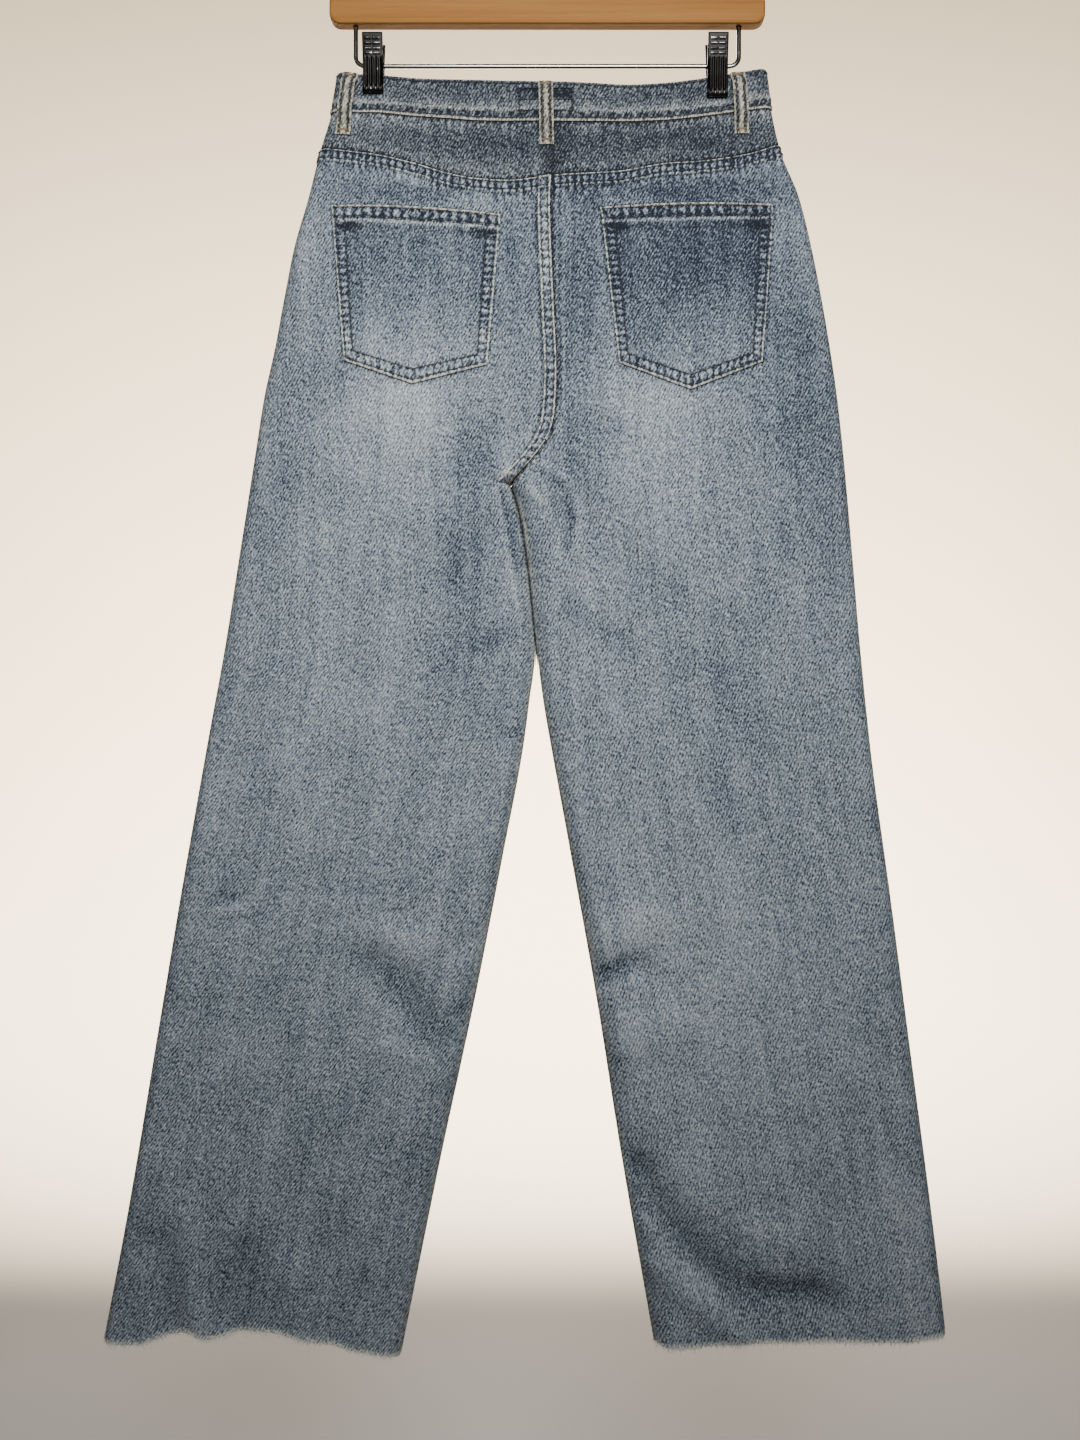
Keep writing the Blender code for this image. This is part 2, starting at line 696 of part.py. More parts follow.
def back_panel(side, surface):
    """A back leg panel, whose top edge laps over the yoke."""
    steps = FELLED_STEPS if side == LEFT else INNER_STEPS
    span = TOP_ZONE - YOKE_ZONE
    shares = (0, FELLED_WIDTH / span, (FELLED_WIDTH + FELLED_STEP) / span, 0.5)

    def top_line(x, drop):
        return yoke_line(x) + HALF_GAP

    def raised(x, drop):
        below_top = drop - yoke_line(x)
        felled = below_top < FELLED_WIDTH * 1.25
        felled &= np.arange(len(drop))[:, None] < 2
        if side == LEFT:
            in_band = np.arange(x.shape[1])[None, :] < FELLED_STEPS.index(FELLED_WIDTH) + 1
            felled = felled | (in_band & (drop < CROTCH_DROP - 1))
        return np.where(felled, FELLED_RISE, 0.0)

    grid = panel_grid(BACK, side, top_line, shares, BACK_LEVELS, steps)
    panel("back_" + column_of(side), BACK, side, grid, raised, surface)
    return grid


def front_seam(x):
    return follow(FRONT_LINES, "seam", x)


def scoop_share(side, x, drop, lap=0.0):
    """1 on the pocket's scooped edge, under 1 inside it, toward the side seam's top."""
    edge = side_x(side, drop)
    half_width = np.abs(edge - SCOOP_X[side]) + lap
    across = np.abs(edge - x) / half_width
    down = (drop - front_seam(x)) / (SCOOP_DEPTH + lap)
    return np.hypot(across, down)


def scoop_line(side, x, drop, lap=0.0):
    """The drop of the scooped edge, and of the waist seam before it starts."""
    edge = side_x(side, drop)
    half_width = np.abs(edge - SCOOP_X[side]) + lap
    across = np.clip(np.abs(edge - x) / half_width, 0, 1)
    return front_seam(x) + (SCOOP_DEPTH + lap) * np.sqrt(1 - across ** 2)


def front_panel(side, surface):
    """A front leg panel, cut away at the scooped pocket and lapped at the fly."""
    def top_line(x, drop):
        return scoop_line(side, x, drop) + BAND_HALF_GAP

    def raised(x, drop):
        if side == RIGHT:
            return np.zeros_like(x)
        past = middle_x(FRONT, drop) - x
        near = 1 - smooth(FLY_RAMP[1], FLY_RAMP[0], past)
        return FLY_RISE * near * (1 - smooth(*FLY_SETTLES, drop))

    grid = panel_grid(FRONT, side, top_line, FRONT_TOP_SHARES, FRONT_LEVELS, INNER_STEPS)
    panel("front_" + column_of(side), FRONT, side, grid, raised, surface)
    return grid


def yoke(side, surface):
    """A yoke half between the waistband and the back panel."""
    name = "yoke_" + column_of(side)
    columns = len(INNER_STEPS) + PANEL_SPANS - 1 + len(SIDE_STEPS)
    xs = []
    drops = []
    for share in YOKE_SHARES:
        drop = np.full(columns, 60.0)
        for _ in range(SOLVE_STEPS):
            inner = inner_x(BACK, side, drop)
            width = side * (side_x(side, drop) - inner)
            side_round = follow(SECTIONS, "side_round", drop)
            table = spread(width[:, None], side_round[:, None], INNER_STEPS, even_shares())
            x = inner + side * np.diagonal(table)
            top = follow(BACK_LINES, "seam", x) + BAND_HALF_GAP
            drop = mix(top, yoke_line(x) - HALF_GAP, share)
        xs.append(x)
        drops.append(drop)
    return panel(name, BACK, side, (np.array(xs), np.array(drops)),
                 lambda x, drop: np.zeros_like(x), surface)


def pocket_facing(side, surface):
    """The cloth behind a scooped pocket, from under the front to the side seam."""
    name = "pocket_facing_" + column_of(side)
    columns = len(FACING_COLUMNS) + len(SIDE_STEPS) - 1
    xs = []
    drops = []
    for share in FACING_ROWS:
        drop = np.full(columns, 60.0)
        for _ in range(SOLVE_STEPS):
            edge = side_x(side, drop)
            side_round = follow(SECTIONS, "side_round", drop)
            start = np.abs(SCOOP_X[side]) - FACING_LAP + 0.5
            reach = np.abs(edge) - side_round
            inner_part = [mix(start, reach, s) for s in FACING_COLUMNS[:-1]]
            side_part = [np.abs(edge) - side_round * step for step in SIDE_STEPS]
            x = side * np.diagonal(np.stack(inner_part + side_part, axis=1))
            top = front_seam(x) + BAND_HALF_GAP
            drop = mix(top, scoop_line(side, x, drop, FACING_LAP), share)
        xs.append(x)
        drops.append(drop)
    x = np.array(xs)
    drop = np.array(drops)
    outer = cloth_points(FRONT, side, x, drop)
    normals = grid_normals(outer, (0, FRONT, 0))
    inside = (1 - scoop_share(side, x, drop)) * SCOOP_DEPTH
    shown = smooth(*FACING_SHOWN, inside)
    sunk = mix(FACING_LIFT, FACING_SHOWN_LIFT, shown)[..., None]
    top_face = keep_apart(outer + normals * sunk, FRONT)
    under = keep_apart(outer + normals * (sunk - FACING_CLOTH), FRONT)
    return slab(name, top_face, under, surface)


# ---------------------------------------------------------------- the waistband

def band_stations():
    """Where the band's columns lie: the face, the side, and the x or the step in the turn."""
    stations = []

    def straight(face, from_x, to_x, count):
        for i in range(count):
            x = mix(from_x, to_x, i / count)
            stations.append((face, LEFT if x < 0 else RIGHT, x, None))

    def turn(first_face, side):
        for step in SIDE_STEPS[:-1]:
            stations.append((first_face, side, None, step))
        stations.append((first_face, side, None, 0.0))
        for step in reversed(SIDE_STEPS[:-1]):
            stations.append((-first_face, side, None, step))

    straight(FRONT, BAND_OVERLAP, CLIP_X[LEFT] - CLIP_FLAT, 11)
    stations.append((FRONT, LEFT, CLIP_X[LEFT] - CLIP_FLAT, None))
    turn(FRONT, LEFT)
    stations.append((BACK, LEFT, CLIP_X[LEFT] - CLIP_FLAT, None))
    straight(BACK, CLIP_X[LEFT] + CLIP_FLAT, CLIP_X[RIGHT] - CLIP_FLAT, 13)
    stations.append((BACK, RIGHT, CLIP_X[RIGHT] - CLIP_FLAT, None))
    stations.append((BACK, RIGHT, CLIP_X[RIGHT] + CLIP_FLAT, None))
    turn(BACK, RIGHT)
    stations.append((FRONT, RIGHT, CLIP_X[RIGHT] + CLIP_FLAT, None))
    straight(FRONT, CLIP_X[RIGHT] - CLIP_FLAT, BAND_SINKS[1], 7)
    straight(FRONT, BAND_SINKS[1], BAND_SINKS[0], 1)
    straight(FRONT, BAND_SINKS[0], BAND_UNDERLAP, 4)
    stations.append((FRONT, LEFT, BAND_UNDERLAP, None))
    return stations


def band_edge(face, x, edge):
    return follow(BACK_LINES if face == BACK else FRONT_LINES, edge, x)


def waistband(surface):
    """The band, one strip round the waist whose ends overlap at the front."""
    stations = band_stations()
    rows = []
    for share in BAND_SHARES:
        row = []
        for face, side, x, step in stations:
            drop = BAND_FIRST_GUESS
            place = x
            for _ in range(SOLVE_STEPS):
                if step is not None:
                    edge = side_x(side, drop)
                    place = edge - side * step * follow(SECTIONS, "side_round", drop)
                low = band_edge(face, place, "seam") - BAND_HALF_GAP
                drop = float(mix(band_edge(face, place, "waist"), low, share))
            depth = float(half_depth(face, side, place, drop))
            row.append((float(place), face * depth, WAIST_HEIGHT - drop))
        rows.append(row)
    points = np.array(rows)
    normals = grid_normals(points, (0, BACK, 0))
    x = points[0, :, 0]
    last_run = np.arange(len(stations)) > len(stations) // 2
    in_front = np.array([station[0] == FRONT for station in stations])
    under = np.where(last_run & in_front, 1 - smooth(*BAND_SINKS, x), 0.0)
    sunk = (under * BAND_UNDER)[None, :, None] * normals
    body = slab("waistband", points + normals * BAND_OUT - sunk,
                points + normals * BAND_IN - sunk, surface)
    drop = float(band_edge(FRONT, BUTTON_X, "waist")) + BUTTON_BAND_DROP
    depth = float(half_depth(FRONT, RIGHT, BUTTON_X, drop))
    low = WAIST_HEIGHT - drop - BUTTONHOLE[1] / 2
    high = WAIST_HEIGHT - drop + BUTTONHOLE[1] / 2
    near = depth + BAND_IN + BUTTONHOLE_REACH[0]
    far = depth + BAND_OUT + BUTTONHOLE_REACH[1]
    hole = extruded("buttonhole_cutter", [(far, low), (far, high), (near, high), (near, low)],
                    BUTTON_X - BUTTONHOLE[0] / 2, BUTTON_X + BUTTONHOLE[0] / 2, surface)
    cut(body, hole)
    return body


# ---------------------------------------------------------------- what lies on the panels

def surface_point(face, side, x, drop, lift):
    """Points on the cloth, moved out along its normal."""
    step = 0.5
    x = np.asarray(x, float)
    drop = np.asarray(drop, float)
    here = half_depth(face, side, x, drop)
    rise_x = (half_depth(face, side, x + step, drop) - half_depth(face, side, x - step, drop)) / step / 2
    rise_drop = (half_depth(face, side, x, drop + step)
                 - half_depth(face, side, x, drop - step)) / step / 2
    length = np.sqrt(1 + rise_x ** 2 + rise_drop ** 2)
    return np.stack([x - lift * rise_x / length, face * (here + lift / length),
                     WAIST_HEIGHT - drop + lift * rise_drop / length], axis=-1)


def back_pocket(side, surface):
    """A patch pocket with a double hem along its top and a point at its bottom."""
    corners = POCKETS[side]
    height = corners.low_inner[1] - corners.top_inner[1]
    downs = [0, POCKET_HEM / height, (POCKET_HEM + POCKET_HEM_RISE) / height, *POCKET_ROWS]
    rows = []
    for down in downs:
        row = []
        for i in range(POCKET_COLUMNS):
            across = i / (POCKET_COLUMNS - 1)
            top = [mix(a, b, across) for a, b in zip(corners.top_inner, corners.top_outer)]
            top[1] -= POCKET_ARCH * math.sin(math.pi * across)
            half = across * 2
            if half <= 1:
                low = [mix(a, b, half) for a, b in zip(corners.low_inner, corners.tip)]
            else:
                low = [mix(a, b, half - 1) for a, b in zip(corners.tip, corners.low_outer)]
            row.append([mix(a, b, down) for a, b in zip(top, low)])
        rows.append(row)
    places = np.array(rows)
    x = places[..., 0]
    drop = places[..., 1]
    hem = np.where(np.arange(len(downs))[:, None] < 2, POCKET_HEM_RISE, 0.0)
    hem = np.broadcast_to(hem, x.shape)
    outer = surface_point(BACK, side, x, drop, POCKET_SEAT + POCKET_CLOTH + hem)
    under = surface_point(BACK, side, x, drop, POCKET_SEAT + np.zeros_like(x))
    return slab("back_pocket_" + column_of(side), outer, under, surface, smooth_angle=20)


def belt_loop(loop, surface):
    """A loop seated at both ends, which stands off the band to let a belt through."""
    side = LEFT if loop.x_top < 0 else RIGHT
    offsets = np.array([-0.5, 0.5]) * LOOP_WIDTH
    start = float(band_edge(loop.face, loop.x_top, "waist")) + LOOP_TOP
    inner_rows = []
    for row in LOOP_ROWS:
        x = mix(loop.x_top, loop.x_bottom, row.along) + offsets
        drop = np.full(2, start + LOOP_LENGTH * row.along)
        seated = surface_point(loop.face, side, x, drop, np.full(2, row.seat))
        depth = half_depth(loop.face, side, x, drop).max()
        standing = np.stack([x, np.full(2, loop.face * (depth + loop.stand)),
                             WAIST_HEIGHT - drop], axis=-1)
        inner_rows.append(mix(seated, standing, row.rise))
    under = np.array(inner_rows)
    normals = grid_normals(under, (0, loop.face, 0))
    return slab(loop.name, under + normals * LOOP_CLOTH, under, surface)


def front_strip(name, columns, lifts, drops, thickness, surface):
    """A strip behind the fly, from columns beside the middle seam."""
    rows = []
    under_rows = []
    for drop in drops:
        x = middle_x(FRONT, drop) + np.array(columns)
        level = np.full(len(columns), float(drop))
        rows.append(surface_point(FRONT, RIGHT, x, level, np.array(lifts, float)))
        under_rows.append(surface_point(FRONT, RIGHT, x, level, np.full(len(columns), thickness)))
    return slab(name, np.array(rows), np.array(under_rows), surface)


def zip_and_slider(cloth_surface, metal):
    """The closed zip behind the fly's lap, and its slider at the top."""
    top = float(band_edge(FRONT, 0, "seam")) + SLIDER_TOP
    teeth_top = top + SLIDER_SIZE[1] + SEAM_GAP
    lifts = [ZIP_LIFT, ZIP_LIFT, ZIP_TEETH_LIFT, ZIP_TEETH_LIFT, ZIP_LIFT, ZIP_LIFT]
    drops = [mix(teeth_top, ZIP_BOTTOM, i / ZIP_ROWS) for i in range(ZIP_ROWS + 1)]
    front_strip("zip", ZIP_COLUMNS, lifts, drops, ZIP_LIFT - ZIP_TAPE, cloth_surface)
    columns = (FLY_EDGE - 0.5 - SLIDER_SIZE[0], FLY_EDGE - 0.5)
    drops = (top, top + SLIDER_SIZE[1])
    front_strip("zip_slider", columns, [SLIDER_LIFTS[1]] * 2, drops, SLIDER_LIFTS[0], metal)


def waist_button(metal):
    """A turned button: a domed cap outside the band and a shank through its hole."""
    drop = float(band_edge(FRONT, BUTTON_X, "waist")) + BUTTON_BAND_DROP
    depth = float(half_depth(FRONT, RIGHT, BUTTON_X, drop))
    seat = depth + BAND_OUT + SEAM_GAP + BUTTON_LIFT
    shank_end = seat - BAND_UNDER
    profile = [(BUTTON_SHANK, shank_end), (BUTTON_SHANK, seat),
               (BUTTON_RADIUS - BUTTON_RIM, seat), (BUTTON_RADIUS, seat + BUTTON_RIM),
               (BUTTON_RADIUS - SEAM_GAP, seat + BUTTON_EDGE),
               (BUTTON_RADIUS * BUTTON_TOP_SHARE, seat + BUTTON_CAP - SEAM_GAP)]
    vertices = []
    for radius, y in profile:
        for i in range(BUTTON_SIDES):
            angle = math.tau * i / BUTTON_SIDES
            vertices.append((BUTTON_X + radius * math.cos(angle), y,
                             WAIST_HEIGHT - drop + radius * math.sin(angle)))
    faces = [tuple(range(BUTTON_SIDES))]
    for ring in range(len(profile) - 1):
        for i in range(BUTTON_SIDES):
            after = (i + 1) % BUTTON_SIDES
            a = ring * BUTTON_SIDES
            faces.append((a + i, a + BUTTON_SIDES + i, a + BUTTON_SIDES + after, a + after))
    last = (len(profile) - 1) * BUTTON_SIDES
    faces.append(tuple(last + i for i in reversed(range(BUTTON_SIDES))))
    mesh = bpy.data.meshes.new("waist_button")
    mesh.from_pydata((np.array(vertices) * METRES).tolist(), [], faces)
    return finish_mesh("waist_button", mesh, metal)


def hem_ring(side, back_grid, front_grid):
    """The hem's outer points all round, with the direction that points out of the leg."""
    back = cloth_points(BACK, side, back_grid[0][-1], back_grid[1][-1])
    front = cloth_points(FRONT, side, front_grid[0][-1], front_grid[1][-1])
    points = np.concatenate([back, front[::-1]])
    ahead = np.roll(points, -1, axis=0) - np.roll(points, 1, axis=0)
    outward = np.stack([ahead[:, 1], -ahead[:, 0], np.zeros(len(ahead))], axis=-1) * side
    outward /= np.linalg.norm(outward, axis=1, keepdims=True)
    return points, outward


def hem_fray(side, back_grid, front_grid, surface):
    """The frayed edge: a narrow woven strip whose loose threads hang down."""
    rng = random.Random(FRAY_SEED + side)
    points, outward = hem_ring(side, back_grid, front_grid)
    closed = np.vstack([points, points[:1]])
    along = np.concatenate([[0], np.cumsum(np.linalg.norm(np.diff(closed, axis=0), axis=1))])
    turned = np.vstack([outward, outward[:1]])
    stations = []
    pitch = along[-1] / FRAY_THREADS
    for i in range(FRAY_THREADS):
        start = i * pitch + rng.uniform(0, FRAY_JITTER) * pitch
        stations += [start, start + rng.uniform(*FRAY_THREAD)]
    places = np.stack([np.interp(stations, along, closed[:, k]) for k in range(3)], axis=1)
    normals = np.stack([np.interp(stations, along, turned[:, k]) for k in range(3)], axis=1)
    normals /= np.linalg.norm(normals, axis=1, keepdims=True)
    down = np.array([0, 0, -1.0])
    count = len(stations)
    rings = []
    far = FRAY_INSET + FRAY_THICK
    for inward, low in ((FRAY_INSET, 0), (FRAY_INSET, 1), (far, 1), (far, 0)):
        rings.append(places - normals * inward + down * (FRAY_GAP + low * FRAY_HEIGHT))
    vertices = [tuple(p) for ring in rings for p in ring]
    faces = []
    for i in range(count):
        after = (i + 1) % count
        for ring in range(4):
            above = (ring + 1) % 4
            if ring == 1 and i % 2 == 0:
                continue
            faces.append((ring * count + i, ring * count + after, above * count + after,
                          above * count + i))
        if i % 2 == 0:
            base = (count + i, count + after, 2 * count + after, 2 * count + i)
            centre = np.mean([vertices[b] for b in base], axis=0)
            lean = np.array([rng.uniform(-1, 1), rng.uniform(-0.5, 0.5), 0]) * FRAY_LEAN
            vertices.append(tuple(centre + lean + down * rng.uniform(*FRAY_REACH)))
            tip = len(vertices) - 1
            faces += [(base[k], base[(k + 1) % 4], tip) for k in range(4)]
    mesh = bpy.data.meshes.new("fray")
    mesh.from_pydata((np.array(vertices) * METRES).tolist(), [], faces)
    return finish_mesh("hem_fray_" + column_of(side), mesh, surface)


# ---------------------------------------------------------------- the hanger

def wood_outline():
    """The bar from the front: a straight bottom, round corners and a crowned top."""
    half = WOOD_LENGTH / 2
    points = []
    for i in range(7):
        angle = math.radians(-90 + 15 * i)
        points.append((half - WOOD_CORNER + WOOD_CORNER * math.cos(angle),
                       WOOD_BOTTOM + WOOD_CORNER + WOOD_CORNER * math.sin(angle)))
    top_corner = WOOD_BOTTOM + WOOD_END_HEIGHT - WOOD_CORNER
    for i in range(6):
        angle = math.radians(15 * i)
        points.append((half - WOOD_CORNER + WOOD_CORNER * math.cos(angle),
                       top_corner + WOOD_CORNER * math.sin(angle)))
    for i in range(9):
        share = i / 8
        x = mix(half - WOOD_CORNER, WOOD_FLAT / 2, share)
        rise = (WOOD_MID_HEIGHT - WOOD_END_HEIGHT) * float(smooth(0, 1, share))
        points.append((x, WOOD_BOTTOM + WOOD_END_HEIGHT + rise))
    mirrored = [(-x, z) for x, z in reversed(points)]
    return points + mirrored


def hanger_wood(surface):
    """The wooden bar, bored for the hook and for the ends of the rail."""
    outline = wood_outline()
    half = WOOD_THICK / 2
    mesh = bpy.data.meshes.new("hanger_wood")
    vertices = [(x * METRES, y * METRES, z * METRES) for y in (-half, half) for x, z in outline]
    count = len(outline)
    faces = [tuple(range(count)), tuple(range(2 * count - 1, count - 1, -1))]
    for i in range(count):
        after = (i + 1) % count
        faces.append((i, i + count, after + count, after))
    mesh.from_pydata(vertices, [], faces)
    work = bmesh.new()
    work.from_mesh(mesh)
    bmesh.ops.recalc_face_normals(work, faces=work.faces[:])
    rims = [e for e in work.edges if abs(e.verts[0].co.y - e.verts[1].co.y) < 1e-6]
    bmesh.ops.bevel(work, geom=rims, offset=WOOD_EDGE * METRES, segments=2, profile=0.5,
                    affect="EDGES", clamp_overlap=True)
    work.to_mesh(mesh)
    work.free()
    body = finish_mesh("hanger_wood", mesh, surface)
    top = WOOD_BOTTOM + WOOD_MID_HEIGHT
    bores = [("hook_bore_cutter", 0, top - HOOK_DEPTH_IN_WOOD, top + 10)]
    for side in (LEFT, RIGHT):
        bores.append(("rail_bore_cutter_" + column_of(side), side * RAIL_HALF_SPAN,
                      WOOD_BOTTOM - 10, WOOD_BOTTOM + RAIL_DEPTH_IN_WOOD))
    for name, x, low, high in bores:
        cutter = cylinder(name, BORE_RADIUS, high - low, 16, surface)
        cutter.location = (x * METRES, 0, (low + high) / 2 * METRES)
        cut(body, cutter)
    return body


def hanger_hook(surface):
    """A wire hook: up from the wood, out to the right, over the top and down the left."""
    centre_z = WIRE_RADIUS - HOOK_RADIUS
    low = WOOD_BOTTOM + WOOD_MID_HEIGHT - HOOK_DEPTH_IN_WOOD + SEAM_GAP
    start = math.asin((WIRE_RADIUS - HOOK_RADIUS) / (HOOK_RADIUS + HOOK_TURN_RADIUS))
    meet_x = HOOK_RADIUS * math.cos(start)
    neck = [(0.0, low)]
    bend_z = centre_z + HOOK_RADIUS * math.sin(start)
    for i in range(HOOK_NECK_STEPS + 1):
        share = i / HOOK_NECK_STEPS
        x = meet_x * share ** 2
        neck.append((x, mix(bend_z - HOOK_NECK_HEIGHT, bend_z, share)))
    angle = math.degrees(start) + HOOK_START_ANGLE
    arc = []
    while angle < HOOK_END_ANGLE:
        arc.append((HOOK_RADIUS * math.cos(math.radians(angle)),
                    centre_z + HOOK_RADIUS * math.sin(math.radians(angle))))
        angle += WIRE_STEP
    return wire("hanger_hook", neck + arc, WIRE_RADIUS, surface)


def hanger_rail(surface):
    """The wire that carries the clips, bent up into the wood at both ends."""
    high = WOOD_BOTTOM + RAIL_DEPTH_IN_WOOD - SEAM_GAP
    level = WAIST_HEIGHT - RAIL_DROP
    right = [(RAIL_HALF_SPAN, high), (RAIL_HALF_SPAN, WOOD_BOTTOM - RAIL_LOWER_TURN)]
    for i in range(7):
        angle = math.radians(-15 * i)
        right.append((RAIL_HALF_SPAN - RAIL_BEND + RAIL_BEND * math.cos(angle),
                      level + RAIL_BEND + RAIL_BEND * math.sin(angle)))
    left = [(-x, z) for x, z in reversed(right)]
    return wire("hanger_rail", right + left, WIRE_RADIUS - RAIL_SLACK, surface)


def jaw_outline(face, side):
    """A jaw from the side: a finger tab, a waist at the rail and a biting pad."""
    rail_z = WAIST_HEIGHT - RAIL_DROP
    top_z = WAIST_HEIGHT - CLIP_TOP_DROP
    pad_z = WAIST_HEIGHT - CLIP_BAND_DROP[side] + 1
    low_z = WAIST_HEIGHT - CLIP_BOTTOM_DROP[side]
    barrel = BARREL_RADIUS + SEAM_GAP
    neck = barrel + JAW_BEND
    foot = JAW_BITE + JAW_FOOT
    plate = JAW_BITE + JAW_PLATE
    inner = [(JAW_TOP_Y, top_z), (neck, rail_z + JAW_SHOULDER), (barrel, rail_z),
             (JAW_BITE + JAW_BEND, pad_z), (JAW_BITE, pad_z - WIRE_RADIUS), (JAW_BITE, low_z)]
    outer = [(foot, low_z), (foot, low_z + JAW_FOOT_HEIGHT), (plate, low_z + JAW_FOOT),
             (plate + SEAM_GAP, pad_z), (barrel + JAW_PLATE, rail_z),
             (neck + JAW_PLATE, rail_z + JAW_SHOULDER), (JAW_TOP_Y + JAW_PLATE, top_z)]
    return [(face * y, z) for y, z in inner + outer]


def clip(side, surface):
    """Two jaws that turn on a barrel round the rail and bite the waistband."""
    x = CLIP_X[side]
    prefix = "clip_" + column_of(side)
    for face, place in ((BACK, "back"), (FRONT, "front")):
        extruded(prefix + "_" + place + "_jaw", jaw_outline(face, side), x - CLIP_WIDTH / 2,
                 x + CLIP_WIDTH / 2, surface)
    sides = BARREL_SIDES
    rail_z = WAIST_HEIGHT - RAIL_DROP
    vertices = []
    for radius in (BARREL_RADIUS, WIRE_RADIUS + SEAM_GAP):
        for end in (-1, 1):
            for i in range(sides):
                angle = math.tau * i / sides
                vertices.append((x + end * BARREL_LENGTH / 2, radius * math.cos(angle),
                                 rail_z + radius * math.sin(angle)))
    faces = []
    for i in range(sides):
        after = (i + 1) % sides
        ring = [k * sides for k in range(4)]
        faces.append((ring[0] + i, ring[1] + i, ring[1] + after, ring[0] + after))
        faces.append((ring[2] + i, ring[2] + after, ring[3] + after, ring[3] + i))
        faces.append((ring[0] + i, ring[0] + after, ring[2] + after, ring[2] + i))
        faces.append((ring[1] + i, ring[3] + i, ring[3] + after, ring[1] + after))
    mesh = bpy.data.meshes.new(prefix + "_barrel")
    mesh.from_pydata((np.array(vertices) * METRES).tolist(), [], faces)
    return finish_mesh(prefix + "_barrel", mesh, surface)


# ---------------------------------------------------------------- build

def main():
    for old in list(bpy.data.objects):
        bpy.data.objects.remove(old, do_unlink=True)

    denim = material("denim", DENIM, 0.9)
    dark_denim = material("denim_dark", DENIM_DARK, 0.9)
    fray = material("fray", FRAY, 0.95)
    wood = material("wood", WOOD, 0.35)
    chrome = material("chrome", CHROME, 0.18, 1.0)
    dark_steel = material("dark_steel", DARK_STEEL, 0.3, 1.0)
    brass = material("aged_brass", BRASS, 0.4, 1.0)

    for side in (LEFT, RIGHT):
        back_grid = back_panel(side, denim)
        front_grid = front_panel(side, denim)
        yoke(side, denim)
        back_pocket(side, denim)
        pocket_facing(side, denim)
        hem_fray(side, back_grid, front_grid, fray)
        clip(side, dark_steel)
    waistband(denim)
    for loop in BELT_LOOPS:
        belt_loop(loop, dark_denim)
    zip_and_slider(dark_denim, brass)
    waist_button(brass)
    hanger_wood(wood)
    hanger_hook(chrome)
    hanger_rail(chrome)


main()
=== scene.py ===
"""The looks of a pair of wide leg jeans on a clip hanger, photographed from behind.

Everything is worked out in millimetres and becomes metres when a mesh is made. The back
of the jeans faces -Y and their left leg is at -X. A drop is how far a point lies below
the clipped corners of the waist, and a lift is how far it lies outside the cloth.
"""

import math
from collections import namedtuple

import bpy
import numpy as np
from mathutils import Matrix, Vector


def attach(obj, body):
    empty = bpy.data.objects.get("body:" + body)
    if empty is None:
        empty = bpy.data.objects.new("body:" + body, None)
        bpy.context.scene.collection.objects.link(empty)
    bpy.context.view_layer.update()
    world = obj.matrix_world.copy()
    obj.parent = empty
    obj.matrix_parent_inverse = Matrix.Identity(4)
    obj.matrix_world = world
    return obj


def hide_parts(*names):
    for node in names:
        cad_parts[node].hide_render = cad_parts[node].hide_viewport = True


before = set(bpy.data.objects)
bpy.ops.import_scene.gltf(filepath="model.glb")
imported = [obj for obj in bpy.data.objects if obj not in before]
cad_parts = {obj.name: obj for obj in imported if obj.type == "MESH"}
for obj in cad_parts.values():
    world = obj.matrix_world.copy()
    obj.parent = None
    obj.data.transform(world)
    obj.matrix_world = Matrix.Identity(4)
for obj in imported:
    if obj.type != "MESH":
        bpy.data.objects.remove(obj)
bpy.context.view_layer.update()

METRES = 0.001
WAIST_HEIGHT = -142.0
CLOTH = 1.5
SEAM_GAP = 0.3
HALF_GAP = SEAM_GAP / 2
BAND_HALF_GAP = 0.3

BACK = -1
FRONT = 1
LEFT = -1
RIGHT = 1
SIDE_NAMES = {LEFT: "left", RIGHT: "right"}


def table(names, *rows):
    """Rows of values whose columns have names."""
    kind = namedtuple("Row", names)
    return [kind(*row) for row in rows]


# ---------------------------------------------------------------- the cut and the hang

SECTIONS = table(
    "drop middle clip end side_round",
    (-5, 13.0, 2.0, 4.6, 6), (24, 14.0, 2.2, 5.0, 6), (36, 15.0, 4.4, 6.2, 7),
    (60, 16.0, 7.8, 8.6, 8), (100, 18.0, 12.0, 12.5, 10), (150, 19.5, 17.0, 16.5, 12),
    (220, 20.5, 20.0, 19.0, 13), (310, 20.0, 20.0, 19.0, 13), (400, 17.5, 17.5, 17.0, 13),
    (700, 17.0, 17.0, 16.5, 13), (1060, 16.0, 16.0, 15.5, 12))

SIDES = table(
    "drop left right",
    (-5, -170.5, 178.5), (34, -177, 184), (67, -186.5, 191.5), (104, -195.5, 206),
    (145, -207, 216), (186, -215, 224), (227, -222.5, 231), (268, -231.5, 237),
    (309, -238, 241.5), (391, -251, 249), (473, -264, 256), (555, -279, 264.5),
    (678, -300.5, 281), (801, -321, 297), (924, -341.5, 313), (1060, -367, 329))

CROTCH_DROP = 339.0
CROTCH_X = -30.0
INNER_EDGES = table(
    "drop left right",
    (339, -30.6, -29.4), (362, -23.6, -22.4), (403, -17.1, -15.9), (440, -13.1, -11.9),
    (477, -10.2, -8.2), (514, -14.5, -3.5), (555, -20, 3.5), (637, -35.5, 18.5),
    (760, -59.5, 40.5), (883, -86, 60), (1060, -122, 91))
INNER_ROUND = 16.0
CROTCH_HALF_GAP = 0.6
CROTCH_CURVE = 28.0

